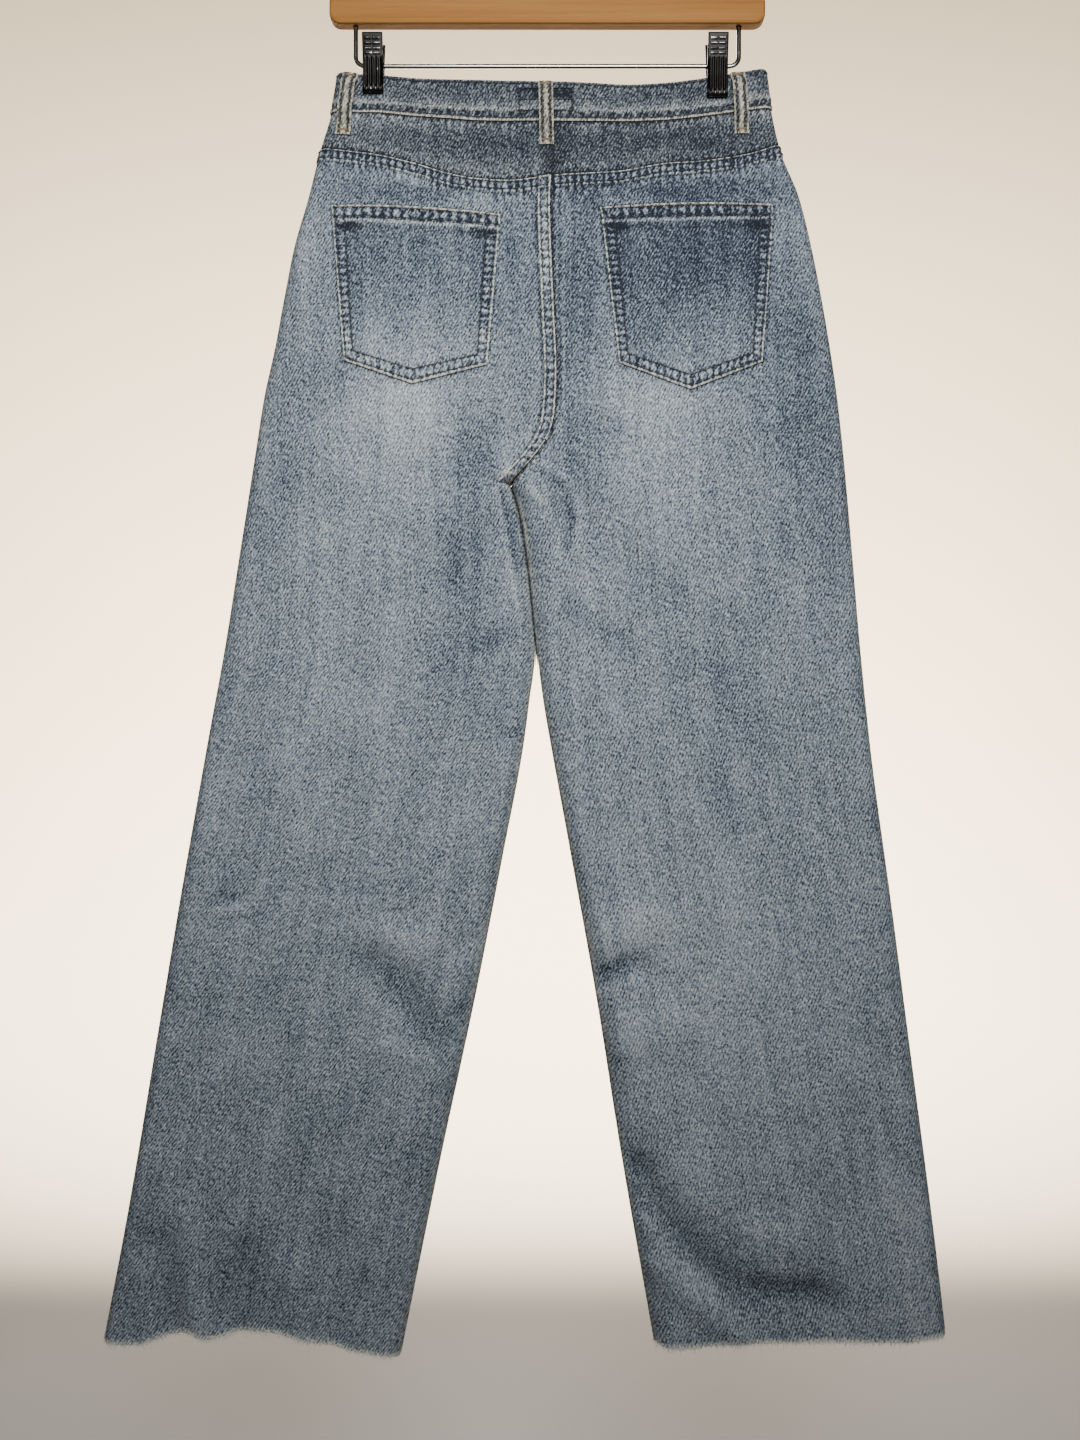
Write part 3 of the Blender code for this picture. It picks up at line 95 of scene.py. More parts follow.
MIDDLE_SEAMS = table(
    "drop back front",
    (-5, 5, 2), (65, 4.6, 2), (112, 2.2, 2), (193, 5, 3), (250, 7.4, 4), (281, 6, 3),
    (297, 2.7, -0.5), (311, -4.9, -7), (324, -16, -18), (335, -27, -27.5),
    (CROTCH_DROP, CROTCH_X, CROTCH_X))

BACK_LINES = table(
    "x waist seam yoke",
    (-190, 1.5, 35, 65), (-143, 2.4, 34.5, 70), (-107, 6, 38.5, 78.5), (-82, 8.2, 41.5, 87),
    (-55, 10.5, 45, 93), (-30, 12.6, 46.5, 95), (5, 14, 47, 91), (55, 14, 45.7, 87),
    (97, 10, 42, 78.5), (130, 5, 37.5, 75.5), (164, 0, 33, 70), (200, -2.8, 30.5, 58))
FRONT_LINES = table(
    "x waist seam",
    (-190, 1.5, 35), (-143, 3, 36), (-100, 10, 43), (-50, 18.5, 51.5), (0, 22, 55),
    (50, 18.5, 51.5), (100, 9.5, 42.5), (140, 2.5, 36), (200, -2.8, 30.5))

HEMS = {
    (LEFT, BACK): table(
        "x drop",
        (-361.5, 1033), (-346, 1035), (-330, 1034.6), (-312, 1029.5), (-290, 1025),
        (-276, 1029.5), (-264, 1028.6), (-250, 1025), (-229, 1024.5), (-212, 1027),
        (-194, 1031.5), (-173, 1035), (-160, 1039.5), (-142, 1043), (-119.5, 1047)),
    (LEFT, FRONT): table(
        "x drop",
        (-361.5, 1033), (-330, 1031), (-290, 1033), (-230, 1030), (-190, 1034), (-160, 1037),
        (-119.5, 1047)),
    (RIGHT, BACK): table(
        "x drop",
        (89, 1036), (98, 1038.5), (134, 1035.5), (168, 1033.5), (236, 1032.7), (270, 1033.7),
        (289, 1033.6), (307, 1031), (325, 1028)),
    (RIGHT, FRONT): table(
        "x drop",
        (89, 1036), (130, 1038), (180, 1036), (230, 1034), (290, 1030), (325, 1028)),
}

# Soft forms of the hanging cloth: the folds of its solids, then the finer creases.
FOLDS = {
    BACK: table(
        "line width height",
        (((73, 894), (99, 940), (124, 975), (162, 997), (228, 1003)), 15, -7),
        (((91, 971), (119, 997), (154, 1025)), 12, 5),
        (((104, 900), (148, 936), (200, 952)), 20, 3.5), (((38, 744), (75, 730)), 14, -5.5),
        (((48, 700), (92, 692)), 18, 3), (((66, 786), (104, 780)), 20, 3),
        (((54, 812), (66, 880), (73, 894)), 9, -3),
        (((-146, 728), (-120, 752), (-90, 788)), 17, -6), (((-132, 702), (-82, 714)), 16, 3.5),
        (((-82, 718), (-62, 710)), 10, -3), (((-276, 1050), (-292, 930)), 12, 4.5),
        (((-300, 1050), (-318, 950)), 11, -3.5), (((-250, 1050), (-246, 960)), 12, -3.5),
        (((-196, 1050), (-206, 970)), 14, 3), (((-108, 262), (-150, 345)), 24, -3),
        (((116, 268), (160, 350)), 24, -3), (((-40, 300), (-118, 340)), 18, -3),
        (((36, 296), (112, 336)), 18, -3), (((-34, 372), (-120, 430)), 18, -3.5),
        (((8, 366), (96, 430)), 18, -3.5)),
    FRONT: table(
        "line width height",
        (((-8, 300), (-96, 262)), 15, -3.5), (((14, 298), (104, 258)), 15, -3.5),
        (((-30, 366), (-120, 318)), 16, -3.5), (((-8, 362), (104, 312)), 16, -3.5),
        (((-230, 700), (-150, 760)), 18, -5), (((60, 742), (150, 700)), 18, -5),
        (((-320, 905), (-220, 965)), 18, -5.5), (((110, 930), (165, 965), (220, 975)), 17, -6),
        (((-170, 1050), (-182, 940)), 14, 4), (((262, 1050), (250, 950)), 14, 4)),
}
FOLDS_START = {BACK: (262, 300), FRONT: (100, 180)}
CREASES = {
    BACK: table(
        "line width height",
        (((-268, 676), (-250, 672)), 4, -1.6), (((-266, 684), (-246, 681)), 4, 1.0),
        (((-34, 543), (-22, 541)), 4, -1.4), (((-78, 768), (-66, 764)), 4, -1.2),
        (((-12, 325), (12, 343), (20, 369), (16, 392)), 3.0, -1.5),
        (((-8, 321), (16, 338), (26, 366), (23, 392)), 3.4, 1.7),
        (((-16, 344), (-2, 356), (6, 376), (8, 400)), 3.4, 1.5),
        (((-41, 344), (-37, 372), (-29, 410), (-22, 452)), 2.8, 1.3),
        (((-36, 346), (-31, 372), (-24, 410)), 3.0, -1.5), (((-52, 318), (-44, 336)), 5, -1.2),
        (((-9, 258), (-13, 273), (-17, 280), (-13, 290)), 4, -1.3),
        (((40, 752), (72, 740)), 5, 1.6), (((44, 733), (70, 724)), 4, -1.2),
        (((-150, 744), (-124, 770)), 7, 1.2), (((-128, 792), (-96, 806)), 9, 1.4),
        (((82, 936), (104, 968), (136, 996)), 6, 1.6), (((170, 985), (214, 990)), 8, -1.4),
        (((-60, 470), (-30, 462)), 8, -1.2), (((20, 440), (60, 470)), 10, -1.4)),
    FRONT: table(
        "line width height",
        (((-20, 342), (-64, 330)), 5, -1.6), (((-8, 346), (46, 330)), 5, -1.6),
        (((-300, 690), (-270, 684)), 5, -1.6), (((-214, 716), (-160, 764)), 6, 1.6),
        (((80, 744), (140, 716)), 6, 1.6), (((-318, 920), (-240, 968)), 6, 1.6)),
}
RIPPLES = table(
    "cell_x cell_drop height seed",
    (46, 120, 0.9, 3), (24, 40, 0.35, 5), (11, 15, 0.14, 8))
RIPPLES_START = (36, 130)
LEAST_HALF_DEPTH = 5.0

CLIP_X = {LEFT: -142.3, RIGHT: 139.0}
CLIP_FLAT = 9.5

FELLED_WIDTH = 9.6
FELLED_RISE = 0.8
BAND_OUT = 0.9
BAND_TONE = 0.19
BAND_IN = -1.7
BAND_OVERLAP = 18.0
BAND_UNDERLAP = -24.0
BAND_UNDER = 3.0
BAND_SINKS = (22.0, 36.0)
BAND_HEIGHT = 33
ROPING_LENGTH = 12

FLY_LAP = 7.0
FLY_EDGE = 1.0
FLY_NARROWS = (176.0, 186.0)
FLY_SETTLES = (186.0, 198.0)
FLY_RISE = 1.8
FLY_RAMP = (16.0, 9.2)
ZIP_BOTTOM = 176.0
ZIP_LIFT = -1.8
ZIP_TOOTH = 2.1

SCOOP_X = {LEFT: -92.0, RIGHT: 94.0}
SCOOP_DEPTH = 82.0
FACING_LAP = 10.0
FACING_LIFT = -2.1
FACING_CLOTH = 1.2

POCKETS = dict(zip((LEFT, RIGHT), table(
    "top_inner top_outer low_inner low_outer tip",
    ((-37.5, 124), (-174.5, 115), (-48.2, 245), (-163.5, 242), (-108.8, 260.5)),
    ((42.2, 118.5), (183, 114), (57.5, 243.5), (172.6, 243), (115, 265)))))
POCKET_ARCH = 3.5
POCKET_TONE = {LEFT: 0.32, RIGHT: 0.20}
POCKET_CLOTH = 1.4
POCKET_SEAT = 0.45
POCKET_HEM = 10.6
POCKET_HEM_RISE = 0.7

BELT_LOOPS = table(
    "name face x_top x_bottom stand",
    ("belt_loop_centre_back", BACK, -1.5, -0.5, 6.4),
    ("belt_loop_back_left", BACK, -160.6, -166.6, 6.4),
    ("belt_loop_back_right", BACK, 155.6, 158.4, 6.4),
    ("belt_loop_front_left", FRONT, -74, -76, 7.6), ("belt_loop_front_right", FRONT, 77, 79, 7.6))
LOOP_WIDTH = 11.6
LOOP_LENGTH = 52.0
LOOP_CLOTH = 1.8
LOOP_TOP = 0.6
LOOP_ROWS = table(
    "along rise seat",
    (0.0, 0.0, 1.2), (0.08, 0.0, 1.2), (0.17, 0.7, 1.2), (0.26, 1.0, 1.2), (0.58, 1.0, 1.2),
    (0.72, 0.62, 0.3), (0.85, 0.0, 0.3), (1.0, 0.0, 0.3))

BUTTON_X = 9.0
BUTTON_BAND_DROP = 16.0
# The button's half outline: the distance from its middle, and the height above the band.
BUTTON_PROFILE = [
    (0.05, -0.9), (2.3, -0.9), (2.3, 0), (7.6, 0), (8.2, 0.3), (8.5, 0.9), (8.4, 1.5), (8.0, 1.95),
    (7.4, 2.1), (6.9, 1.9), (6.5, 1.7), (6.1, 1.8), (5.0, 2.3), (3.6, 2.6), (2.0, 2.78),
    (0.05, 2.85)]

WIRE_RADIUS = 2.0
WOOD_BOTTOM = -104.3
WOOD_MID_HEIGHT = 42.0
HOOK_RADIUS = 20.0
HOOK_END_ANGLE = 205.0
HOOK_DEPTH_IN_WOOD = 16.0
RAIL_DROP = -5.2
RAIL_HALF_SPAN = 157.0
RAIL_BEND = 8.0
RAIL_DEPTH_IN_WOOD = 14.0
CLIP_TOP_DROP = -28.0
CLIP_BOTTOM_DROP = {LEFT: 18.8, RIGHT: 22.3}
CLIP_BAND_DROP = {LEFT: 3.6, RIGHT: 4.4}
JAW_PLATE = 1.3
JAW_BITE = 3.5
JAW_TOP_Y = 9.5
JAW_HALF_WIDTH = 8.4
JAW_FLUTE = 3.7
BARREL_RADIUS = 4.4

# ---------------------------------------------------------------- curves and noise


def smooth(start, end, value):
    """0 before the start, 1 after the end, and a soft S between them."""
    share = np.clip((np.asarray(value, float) - start) / (end - start), 0, 1)
    return share * share * (3 - 2 * share)


def mix(first, second, share):
    return first + (second - first) * share


def bell(value, width):
    return np.exp(-(np.asarray(value, float) / width) ** 2)


def unit(vectors):
    return vectors / np.maximum(np.linalg.norm(vectors, axis=-1, keepdims=True), 1e-9)


def lengths_along(points):
    """How far along a line of points each of them lies."""
    steps = np.linalg.norm(np.diff(points, axis=0), axis=1)
    return np.concatenate([[0], np.cumsum(steps)])


def read_line(at, along, points):
    """Points of a line at lengths along it."""
    return np.stack([np.interp(at, along, column) for column in points.T], axis=-1)


def follow(rows, column, at):
    """Read one column of a table at a place, along a curve that never overshoots."""
    places = np.array([row[0] for row in rows], float)
    values = np.array([getattr(row, column) for row in rows], float)
    spans = np.diff(places)
    rates = np.diff(values) / spans
    slopes = np.zeros(len(places))
    slopes[0] = rates[0]
    slopes[-1] = rates[-1]
    same_way = rates[:-1] * rates[1:] > 0
    before = rates[:-1][same_way]
    after = rates[1:][same_way]
    slopes[1:-1][same_way] = 2 * before * after / (before + after)
    at = np.clip(at, places[0], places[-1])
    i = np.clip(np.searchsorted(places, at, side="right") - 1, 0, len(spans) - 1)
    t = (at - places[i]) / spans[i]
    rest = 1 - t
    return (values[i] * (1 + 2 * t) * rest ** 2 + slopes[i] * spans[i] * t * rest ** 2
            + values[i + 1] * t * t * (3 - 2 * t) - slopes[i + 1] * spans[i] * t * t * rest)


def soft_noise(u, v, seed):
    """Smooth noise from -1 to 1 on a seeded lattice with a step of 1."""
    size = 97
    lattice = np.random.default_rng(seed).uniform(-1, 1, (size, size))
    i = np.floor(u).astype(int)
    j = np.floor(v).astype(int)
    fu = u - i
    fv = v - j
    fu = fu * fu * (3 - 2 * fu)
    fv = fv * fv * (3 - 2 * fv)
    here = mix(lattice[i % size, j % size], lattice[(i + 1) % size, j % size], fu)
    below = mix(lattice[i % size, (j + 1) % size], lattice[(i + 1) % size, (j + 1) % size], fu)
    return mix(here, below, fv)


# ---------------------------------------------------------------- the cloth's surface


def side_x(side, drop):
    return follow(SIDES, SIDE_NAMES[side], drop)


def middle_x(face, drop):
    return follow(MIDDLE_SEAMS, "back" if face == BACK else "front", drop)


def seam_half_gap(drop):
    return mix(HALF_GAP, CROTCH_HALF_GAP, smooth(CROTCH_DROP - 2 * CROTCH_CURVE, CROTCH_DROP, drop))


def inner_x(face, side, drop):
    """The middle seam above the crotch, and the leg's inner edge below it."""
    drop = np.asarray(drop, float)
    seam = middle_x(face, drop) + side * seam_half_gap(drop)
    leg = follow(INNER_EDGES, SIDE_NAMES[side], drop)
    return np.where(drop < CROTCH_DROP, seam, leg)


def squared_distance(x, drop, line):
    """The squared distance of each point from a line of (x, drop) corners."""
    nearest = np.full(np.broadcast(x, drop).shape, np.inf)
    for start, end in zip(line, line[1:]):
        run = np.subtract(end, start)
        share = ((x - start[0]) * run[0] + (drop - start[1]) * run[1]) / max(run @ run, 1e-9)
        share = np.clip(share, 0, 1)
        off_x = x - start[0] - share * run[0]
        off_drop = drop - start[1] - share * run[1]
        nearest = np.minimum(nearest, off_x ** 2 + off_drop ** 2)
    return nearest


def forms(folds, x, drop):
    """How far some folds push the cloth out or in."""
    total = np.zeros(np.broadcast(x, drop).shape)
    for fold in folds:
        total = total + fold.height * np.exp(-squared_distance(x, drop, fold.line)
                                             / fold.width ** 2)
    return total


def ripples(face, x, drop):
    total = 0
    for row in RIPPLES:
        total = total + row.height * soft_noise(x / row.cell_x + 40 + face, drop / row.cell_drop,
                                                row.seed)
    return total * smooth(*RIPPLES_START, drop)


def half_depth(face, side, x, drop):
    """How far the cloth's outer face stands from the hanging plane, Y = 0."""
    x, drop = np.broadcast_arrays(np.asarray(x, float), np.asarray(drop, float))
    middle = follow(SECTIONS, "middle", drop)
    clip = follow(SECTIONS, "clip", drop)
    end = follow(SECTIONS, "end", drop)
    side_round = follow(SECTIONS, "side_round", drop)
    from_side = np.maximum(side * (side_x(side, drop) - x), 0)
    from_inner = np.maximum(side * (x - inner_x(face, side, drop)), 0)
    from_clip = side * (CLIP_X[side] - x)
    toward_middle = smooth(CLIP_FLAT, abs(CLIP_X[side]), from_clip)
    end_span = side * (side_x(side, drop) - CLIP_X[side]) - side_round
    toward_end = smooth(CLIP_FLAT, np.maximum(end_span, CLIP_FLAT + 1), -from_clip)
    depth = np.where(from_clip > 0, mix(clip, middle, toward_middle), mix(clip, end, toward_end))
    pushed = forms(FOLDS[face], x, drop) + forms(CREASES[face], x, drop)
    folded = depth + pushed * smooth(*FOLDS_START[face], drop) + ripples(face, x, drop)
    depth = np.maximum(folded, np.minimum(depth, LEAST_HALF_DEPTH))
    at_side = np.clip(from_side / side_round, 0, 1)
    depth = depth * np.sqrt(at_side * (2 - at_side))
    below_curve = np.clip((drop - CROTCH_DROP + CROTCH_CURVE) / CROTCH_CURVE, 0, 1)
    kept = np.sqrt(1 - below_curve ** 2)
    at_inner = np.clip(from_inner / INNER_ROUND, 0, 1)
    return depth * (kept + (1 - kept) * np.sqrt(at_inner * (2 - at_inner)))


def cloth_points(face, side, x, drop):
    depth = np.maximum(half_depth(face, side, x, drop), HALF_GAP)
    x, drop = np.broadcast_arrays(np.asarray(x, float), np.asarray(drop, float))
    return np.stack([x, face * depth, WAIST_HEIGHT - drop], axis=-1)


def surface_frame(face, side, x, drop, lift):
    """Points moved out from the cloth along its normals, and those normals."""
    step = 0.5
    x = np.asarray(x, float)
    drop = np.asarray(drop, float)
    here = half_depth(face, side, x, drop)
    rise_x = (half_depth(face, side, x + step, drop)
              - half_depth(face, side, x - step, drop)) / step / 2
    rise_drop = (half_depth(face, side, x, drop + step)
                 - half_depth(face, side, x, drop - step)) / step / 2
    length = np.sqrt(1 + rise_x ** 2 + rise_drop ** 2)
    normals = np.stack([-rise_x, np.full(x.shape, float(face)), rise_drop], axis=-1)
    normals = normals / length[..., None]
    base = np.stack([x, face * here, WAIST_HEIGHT - drop], axis=-1)
    return base + normals * np.asarray(lift, float)[..., None], normals


def grid_normals(points, outward):
    """Unit normals of a grid of points, turned to agree with a direction at its middle."""
    normals = unit(np.cross(np.gradient(points, axis=0), np.gradient(points, axis=1)))
    middle = normals[points.shape[0] // 2, points.shape[1] // 2]
    return normals if middle @ np.asarray(outward, float) > 0 else -normals


def keep_apart(points, face):
    points[..., 1] = face * np.maximum(face * points[..., 1], HALF_GAP)
    return points


# ---------------------------------------------------------------- meshes


def new_object(name, data, surface, node=None):
    """A piece of the scene, which may stand in for a CAD node."""
    data.materials.append(surface)
    made = bpy.data.objects.new(name, data)
    bpy.context.scene.collection.objects.link(made)
    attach(made, "root")
    if node is not None:
        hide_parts(node)
    return made


def add_values(mesh, values):
    """Numbers and vectors on the mesh's points, for its material to read."""
    for name, value in values.items():
        flat = np.ascontiguousarray(value, dtype=np.float32)
        if flat.ndim == 2:
            made = mesh.attributes.new(name, "FLOAT_VECTOR", "POINT")
            made.data.foreach_set("vector", flat.ravel())
        else:
            made = mesh.attributes.new(name, "FLOAT", "POINT")
            made.data.foreach_set("value", flat)


def mesh_from_quads(name, vertices, quads, values, sharp_angle=50):
    """A closed mesh in metres whose faces point outward."""
    v = vertices * METRES
    a, b, c, d = (v[quads[:, k]] for k in range(4))
    volume = np.einsum("ij,ij->i", a, np.cross(b, c)).sum()
    volume += np.einsum("ij,ij->i", a, np.cross(c, d)).sum()
    if volume < 0:
        quads = quads[:, ::-1]
    mesh = bpy.data.meshes.new(name)
    mesh.from_pydata(v.tolist(), [], quads.tolist())
    add_values(mesh, values)
    mesh.shade_smooth()
    mesh.set_sharp_from_angle(angle=math.radians(sharp_angle))
    return mesh


def ring_quads(rings, sides):
    """The index of each point in a stack of rings, and the quads between the rings."""
    index = np.arange(rings * sides).reshape(rings, sides)
    after = np.roll(index, -1, axis=1)
    quads = np.stack([index[:-1], after[:-1], after[1:], index[1:]], axis=-1)
    return index, quads.reshape(-1, 4)


def turned(profile, sides):
    """A profile of (radius, height) pairs turned round: points with the height last, quads."""
    angles = np.linspace(0, math.tau, sides, endpoint=False)
    points = [(r * math.cos(a), r * math.sin(a), height) for r, height in profile for a in angles]
    return np.array(points), ring_quads(len(profile), sides)[1]


def shell(name, outer, inner, values, surface, node):
    """A thin closed wall between two grids of points, with (outside, inside) values."""
    rows, columns = outer.shape[:2]
    count = rows * columns
    index = np.arange(count).reshape(rows, columns)
    corners = (index[:-1, :-1], index[:-1, 1:], index[1:, 1:], index[1:, :-1])
    a, b, c, d = (corner.ravel() for corner in corners)
    quads = [np.stack([a, b, c, d], axis=1), np.stack([a, d, c, b], axis=1) + count]
    for rim in (index[0], index[-1][::-1], index[:, -1], index[:, 0][::-1]):
        here = rim[:-1]
        after = rim[1:]
        quads.append(np.stack([here, here + count, after + count, after], axis=1))
    both = {}
    for key, faces in values.items():
        both[key] = np.concatenate([
            np.broadcast_to(value, (rows, columns) + np.shape(value)[2:]).reshape(
                (count,) + np.shape(value)[2:]) for value in faces])
    vertices = np.concatenate([outer.reshape(-1, 3), inner.reshape(-1, 3)])
    mesh = mesh_from_quads(name, vertices, np.concatenate(quads), both)
    return new_object(name, mesh, surface, node)


def clipped(values):
    """Values for the denim's material, with its shares held between 0 and 1."""
    return {key: np.clip(value, 0, 1) if key in SHARES else value
            for key, value in values.items()}


def cloth_piece(node, outer, under, place, values, surface, inside=1.0):
    """A piece of cloth with the same wear on both faces, in place of its CAD node."""
    cloth = np.stack(np.broadcast_arrays(*place, 0.0), axis=-1)
    both = {key: (value, value) for key, value in clipped(values).items()}
    both.update(cloth=(cloth, cloth), inside=(0.0, inside))
    return shell("jeans_" + node, outer, under, both, surface, node)


def tube(name, points, radius, surface, node):
    """A round wire through points in the plane Y = 0."""
    curve = bpy.data.curves.new(name, "CURVE")
    curve.dimensions = "3D"
    curve.bevel_depth = radius * METRES
    curve.bevel_resolution = 6
    curve.use_fill_caps = True
    line = curve.splines.new("POLY")
    line.points.add(len(points) - 1)
    for point, (x, z) in zip(line.points, points):
        point.co = (x * METRES, 0, z * METRES, 1)
    line.use_smooth = True
    return new_object(name, curve, surface, node)


# ---------------------------------------------------------------- wash and wear

# Where the cloth is paler or darker: a tone over 0 is paler. Most patches are the wash's fades; the
# small dark ones on the fold troughs at (-124, 742), (56, 738) and (120, 965) are painted shade.
PATCHES = {
    BACK: table(
        "x drop width height lean tone",
        (-119, 300, 46, 56, 0.1, 0.15), (-112, 272, 40, 18, 0, 0.10),
        (84, 312, 46, 58, -0.1, 0.11), (80, 274, 38, 18, 0, 0.08), (-68, 335, 18, 100, 0, -0.08),
        (-68, 450, 22, 90, 0.1, -0.09), (22, 325, 22, 60, 0, -0.12), (38, 440, 14, 60, 0, 0.06),
        (-205, 300, 30, 140, 0.25, -0.06), (205, 260, 42, 150, -0.25, -0.17),
        (-24, 160, 20, 70, 0, -0.14), (26, 170, 26, 90, 0, -0.20), (-110, 62, 130, 30, 0, -0.22),
        (100, 58, 150, 32, 0, -0.32), (98, 103, 80, 13, 0, -0.26), (40, 62, 40, 22, 0, 0.05),
        (-105, 104, 70, 11, 0, -0.17), (-185, 480, 30, 130, 0.1, 0.05),
        (-128, 520, 16, 150, 0.1, 0.05), (150, 520, 40, 110, -0.1, -0.06),
        (-124, 742, 26, 9, -0.7, -0.04), (-105, 712, 34, 14, 0, 0.07),
        (120, 965, 44, 26, -0.7, -0.03), (280, 940, 50, 90, 0, 0.06),
        (56, 738, 20, 10, 0.3, -0.09), (70, 700, 26, 20, 0, 0.05), (-230, 990, 90, 60, 0, -0.03),
        (130, 750, 90, 120, -0.1, 0.09), (290, 960, 16, 90, -0.2, 0.07)),
    FRONT: table(
        "x drop width height lean tone",
        (-120, 330, 50, 110, 0.1, 0.18), (112, 330, 50, 110, -0.1, 0.18),
        (-170, 640, 46, 80, 0.2, 0.12), (140, 640, 46, 80, -0.2, 0.12),
        (0, 150, 60, 90, 0, -0.10), (-200, 300, 24, 160, 0.25, -0.10),
        (200, 300, 24, 160, -0.25, -0.10)),
}
# How much folds and creases shift the tone: painted light and shade, paler on their ridges and
# darker in their troughs.
FOLD_SHADING = 0.012
CREASE_SHADING = 0.085
TONE = 0.43


def tone(face, x, drop):
    total = np.full(np.broadcast(x, drop).shape, TONE)
    for patch in PATCHES[face]:
        off_drop = drop - patch.drop
        off_x = x - patch.x + patch.lean * off_drop
        total = total + patch.tone * bell(np.hypot(off_x / patch.width,
                                                   off_drop / patch.height), 1)
    # Painted light and shade along the folds and creases, paler on the ridges and darker in the
    # troughs.
    worn = FOLD_SHADING * forms(FOLDS[face], x, drop) + CREASE_SHADING * forms(CREASES[face], x, drop)
    return total + np.clip(worn, -0.2, 0.2) * smooth(*FOLDS_START[face], drop)


def grain(side, x, drop):
    """The cloth's own coordinates in mm, which lean with the leg below the hip."""
    def centre(level):
        return (side_x(side, level) + follow(INNER_EDGES, SIDE_NAMES[side], level)) / 2
    lean = centre(np.maximum(drop, 360)) - centre(np.full_like(drop, 360.0))
    return np.stack([x - lean, drop, np.zeros_like(x)], axis=-1)


# ---------------------------------------------------------------- panels

STITCH_CHANNEL = 0.95
YOKE_STITCHES = (1.9, 7.7)
SEAT_STITCHES = (2.0, 7.6)
SCOOP_STITCHES = (2.0, 8.0)
POCKET_STITCHES = (2.7, 10.0)
POCKET_HEM_STITCHES = (2.5, 9.4)
BAND_STITCHES = (2.5, 30.5)
YOKE_RUNG = 5.8
SEAT_RUNG = 7.0
POCKET_RUNG = 5.6
POCKET_HEM_RUNG = 7.7
POCKET_SHADOW = 3.2
SIDE_TURN_STEPS = 1 - np.sin(np.linspace(0, math.pi / 2, 9))
INNER_TURN = INNER_ROUND * (1 - np.cos(np.linspace(0, math.pi / 2, 10)))
BACK_STEP = 3.0
FRONT_STEP = 4.2
TOP_ZONE = 150.0
HEM_ZONE = 950.0
WIDEST = 214.0
YOKE_STEP = 2.6
POCKET_STEP = 1.9
LEVELS_END = 1030
NEAR_HEM = [1029.0, 1030.5]
BEFORE_SCOOP = 0.4
# A place depends on the drop and the drop on the place, so both are worked out in rounds.
SETTLING_ROUNDS = 6
FIRST_DROP = 60.0
# Shares of the way from the top seam to the top zone's end, close together at the seam.
BACK_TOP_ROWS = [0, 0.006, 0.012, 0.018, 0.026, 0.033, 0.041, 0.05, 0.065, 0.085, 0.1, 0.113,
                 0.122, 0.13, 0.138, 0.146, 0.153, 0.16, 0.168, 0.18, 0.2, 0.22, 0.245]
BACK_TOP_ROWS += list(np.arange(0.285, 0.99, 0.045))
FRONT_TOP_ROWS = [0, 0.01, 0.03, 0.06] + list(np.arange(0.1, 0.99, 0.06))
SEAT_STEPS = [0.25, 0.6, 1.4, 2.0, 2.7, 4.4, 5.4, 6.7, 7.5, 8.3, 8.9, 9.3, 9.6, 10.0, 10.4, 11.2]


def panel_inner_x(face, side, drop):
    edge = inner_x(face, side, drop)
    if face == BACK:
        return edge
    lap = (FLY_LAP if side == LEFT else FLY_EDGE) * (1 - smooth(*FLY_NARROWS, drop))
    return np.where(drop < CROTCH_DROP, edge + lap, edge)


def scoop_shares(side, inner, width, side_round, even):
    """Shares that crowd round the steep start of the scooped pocket edge."""
    between = width - INNER_ROUND - side_round
    to_scoop = np.abs(SCOOP_X[side] - inner)
    start = (to_scoop - INNER_ROUND) / between
    half_width = width - to_scoop
    swing = np.clip((even - BEFORE_SCOOP) / (1 - BEFORE_SCOOP), 0, 1)
    last = np.arccos(np.clip(side_round / half_width, 0, 1))
    past = (width - half_width * np.cos(swing * last) - INNER_ROUND) / between
    return np.where(even < BEFORE_SCOOP, start * even / BEFORE_SCOOP, past)


def across_cells(face, side, drop, steps, spans, crowding=0.0):
    """Columns over the inner turn, even ones between, and columns over the side's turn."""
    inner = panel_inner_x(face, side, drop)
    width = side * (side_x(side, drop) - inner)
    side_round = follow(SECTIONS, "side_round", drop)
    first = len(steps) - 1
    last = first + spans
    cells = (slice(None), slice(first, last))
    even = np.linspace(0, 1, spans + 1)[:-1]
    if face == FRONT:
        crowded = scoop_shares(side, inner[cells], width[cells], side_round[cells], even)
        even = mix(even, crowded, crowding)
    distance = np.empty_like(drop)
    distance[:, :first] = steps[:-1]
    distance[cells] = INNER_ROUND + (width - INNER_ROUND - side_round)[cells] * even
    distance[:, last:] = width[:, last:] - side_round[:, last:] * SIDE_TURN_STEPS
    return inner + side * distance, distance


def panel_cells(face, side, top_line, top_rows, levels, steps, step):
    """The x, the drop and the distance from the inner edge of each point."""
    hem_line = HEMS[side, face]
    spans = int(WIDEST / step)
    shares = np.array(top_rows)[:, None]
    hem_mean = float(np.mean([row.drop for row in hem_line]))
    levels = np.array(list(levels) + [hem_mean])[:, None]
    is_top = np.arange(len(shares) + len(levels))[:, None] < len(shares)
    share = np.concatenate([shares, np.ones_like(levels)])
    level = np.concatenate([np.full_like(shares, TOP_ZONE), levels])
    columns = len(steps) - 1 + spans + len(SIDE_TURN_STEPS)
    drop = np.broadcast_to(level, (len(level), columns)).copy()
    crowding = np.where(is_top, 1 - share, 0)
    for _ in range(SETTLING_ROUNDS):
        x, distance = across_cells(face, side, drop, steps, spans, crowding)
        below = level + (follow(hem_line, "drop", x) - hem_mean) * smooth(HEM_ZONE, hem_mean, level)
        drop = np.where(is_top, mix(top_line(x, drop), TOP_ZONE, share), below)
    return x, drop, distance


def panel_levels(step):
    return list(np.arange(TOP_ZONE, LEVELS_END - step, step)) + NEAR_HEM


def yoke_line(x):
    return follow(BACK_LINES, "yoke", x)


def front_seam(x):
    return follow(FRONT_LINES, "seam", x)


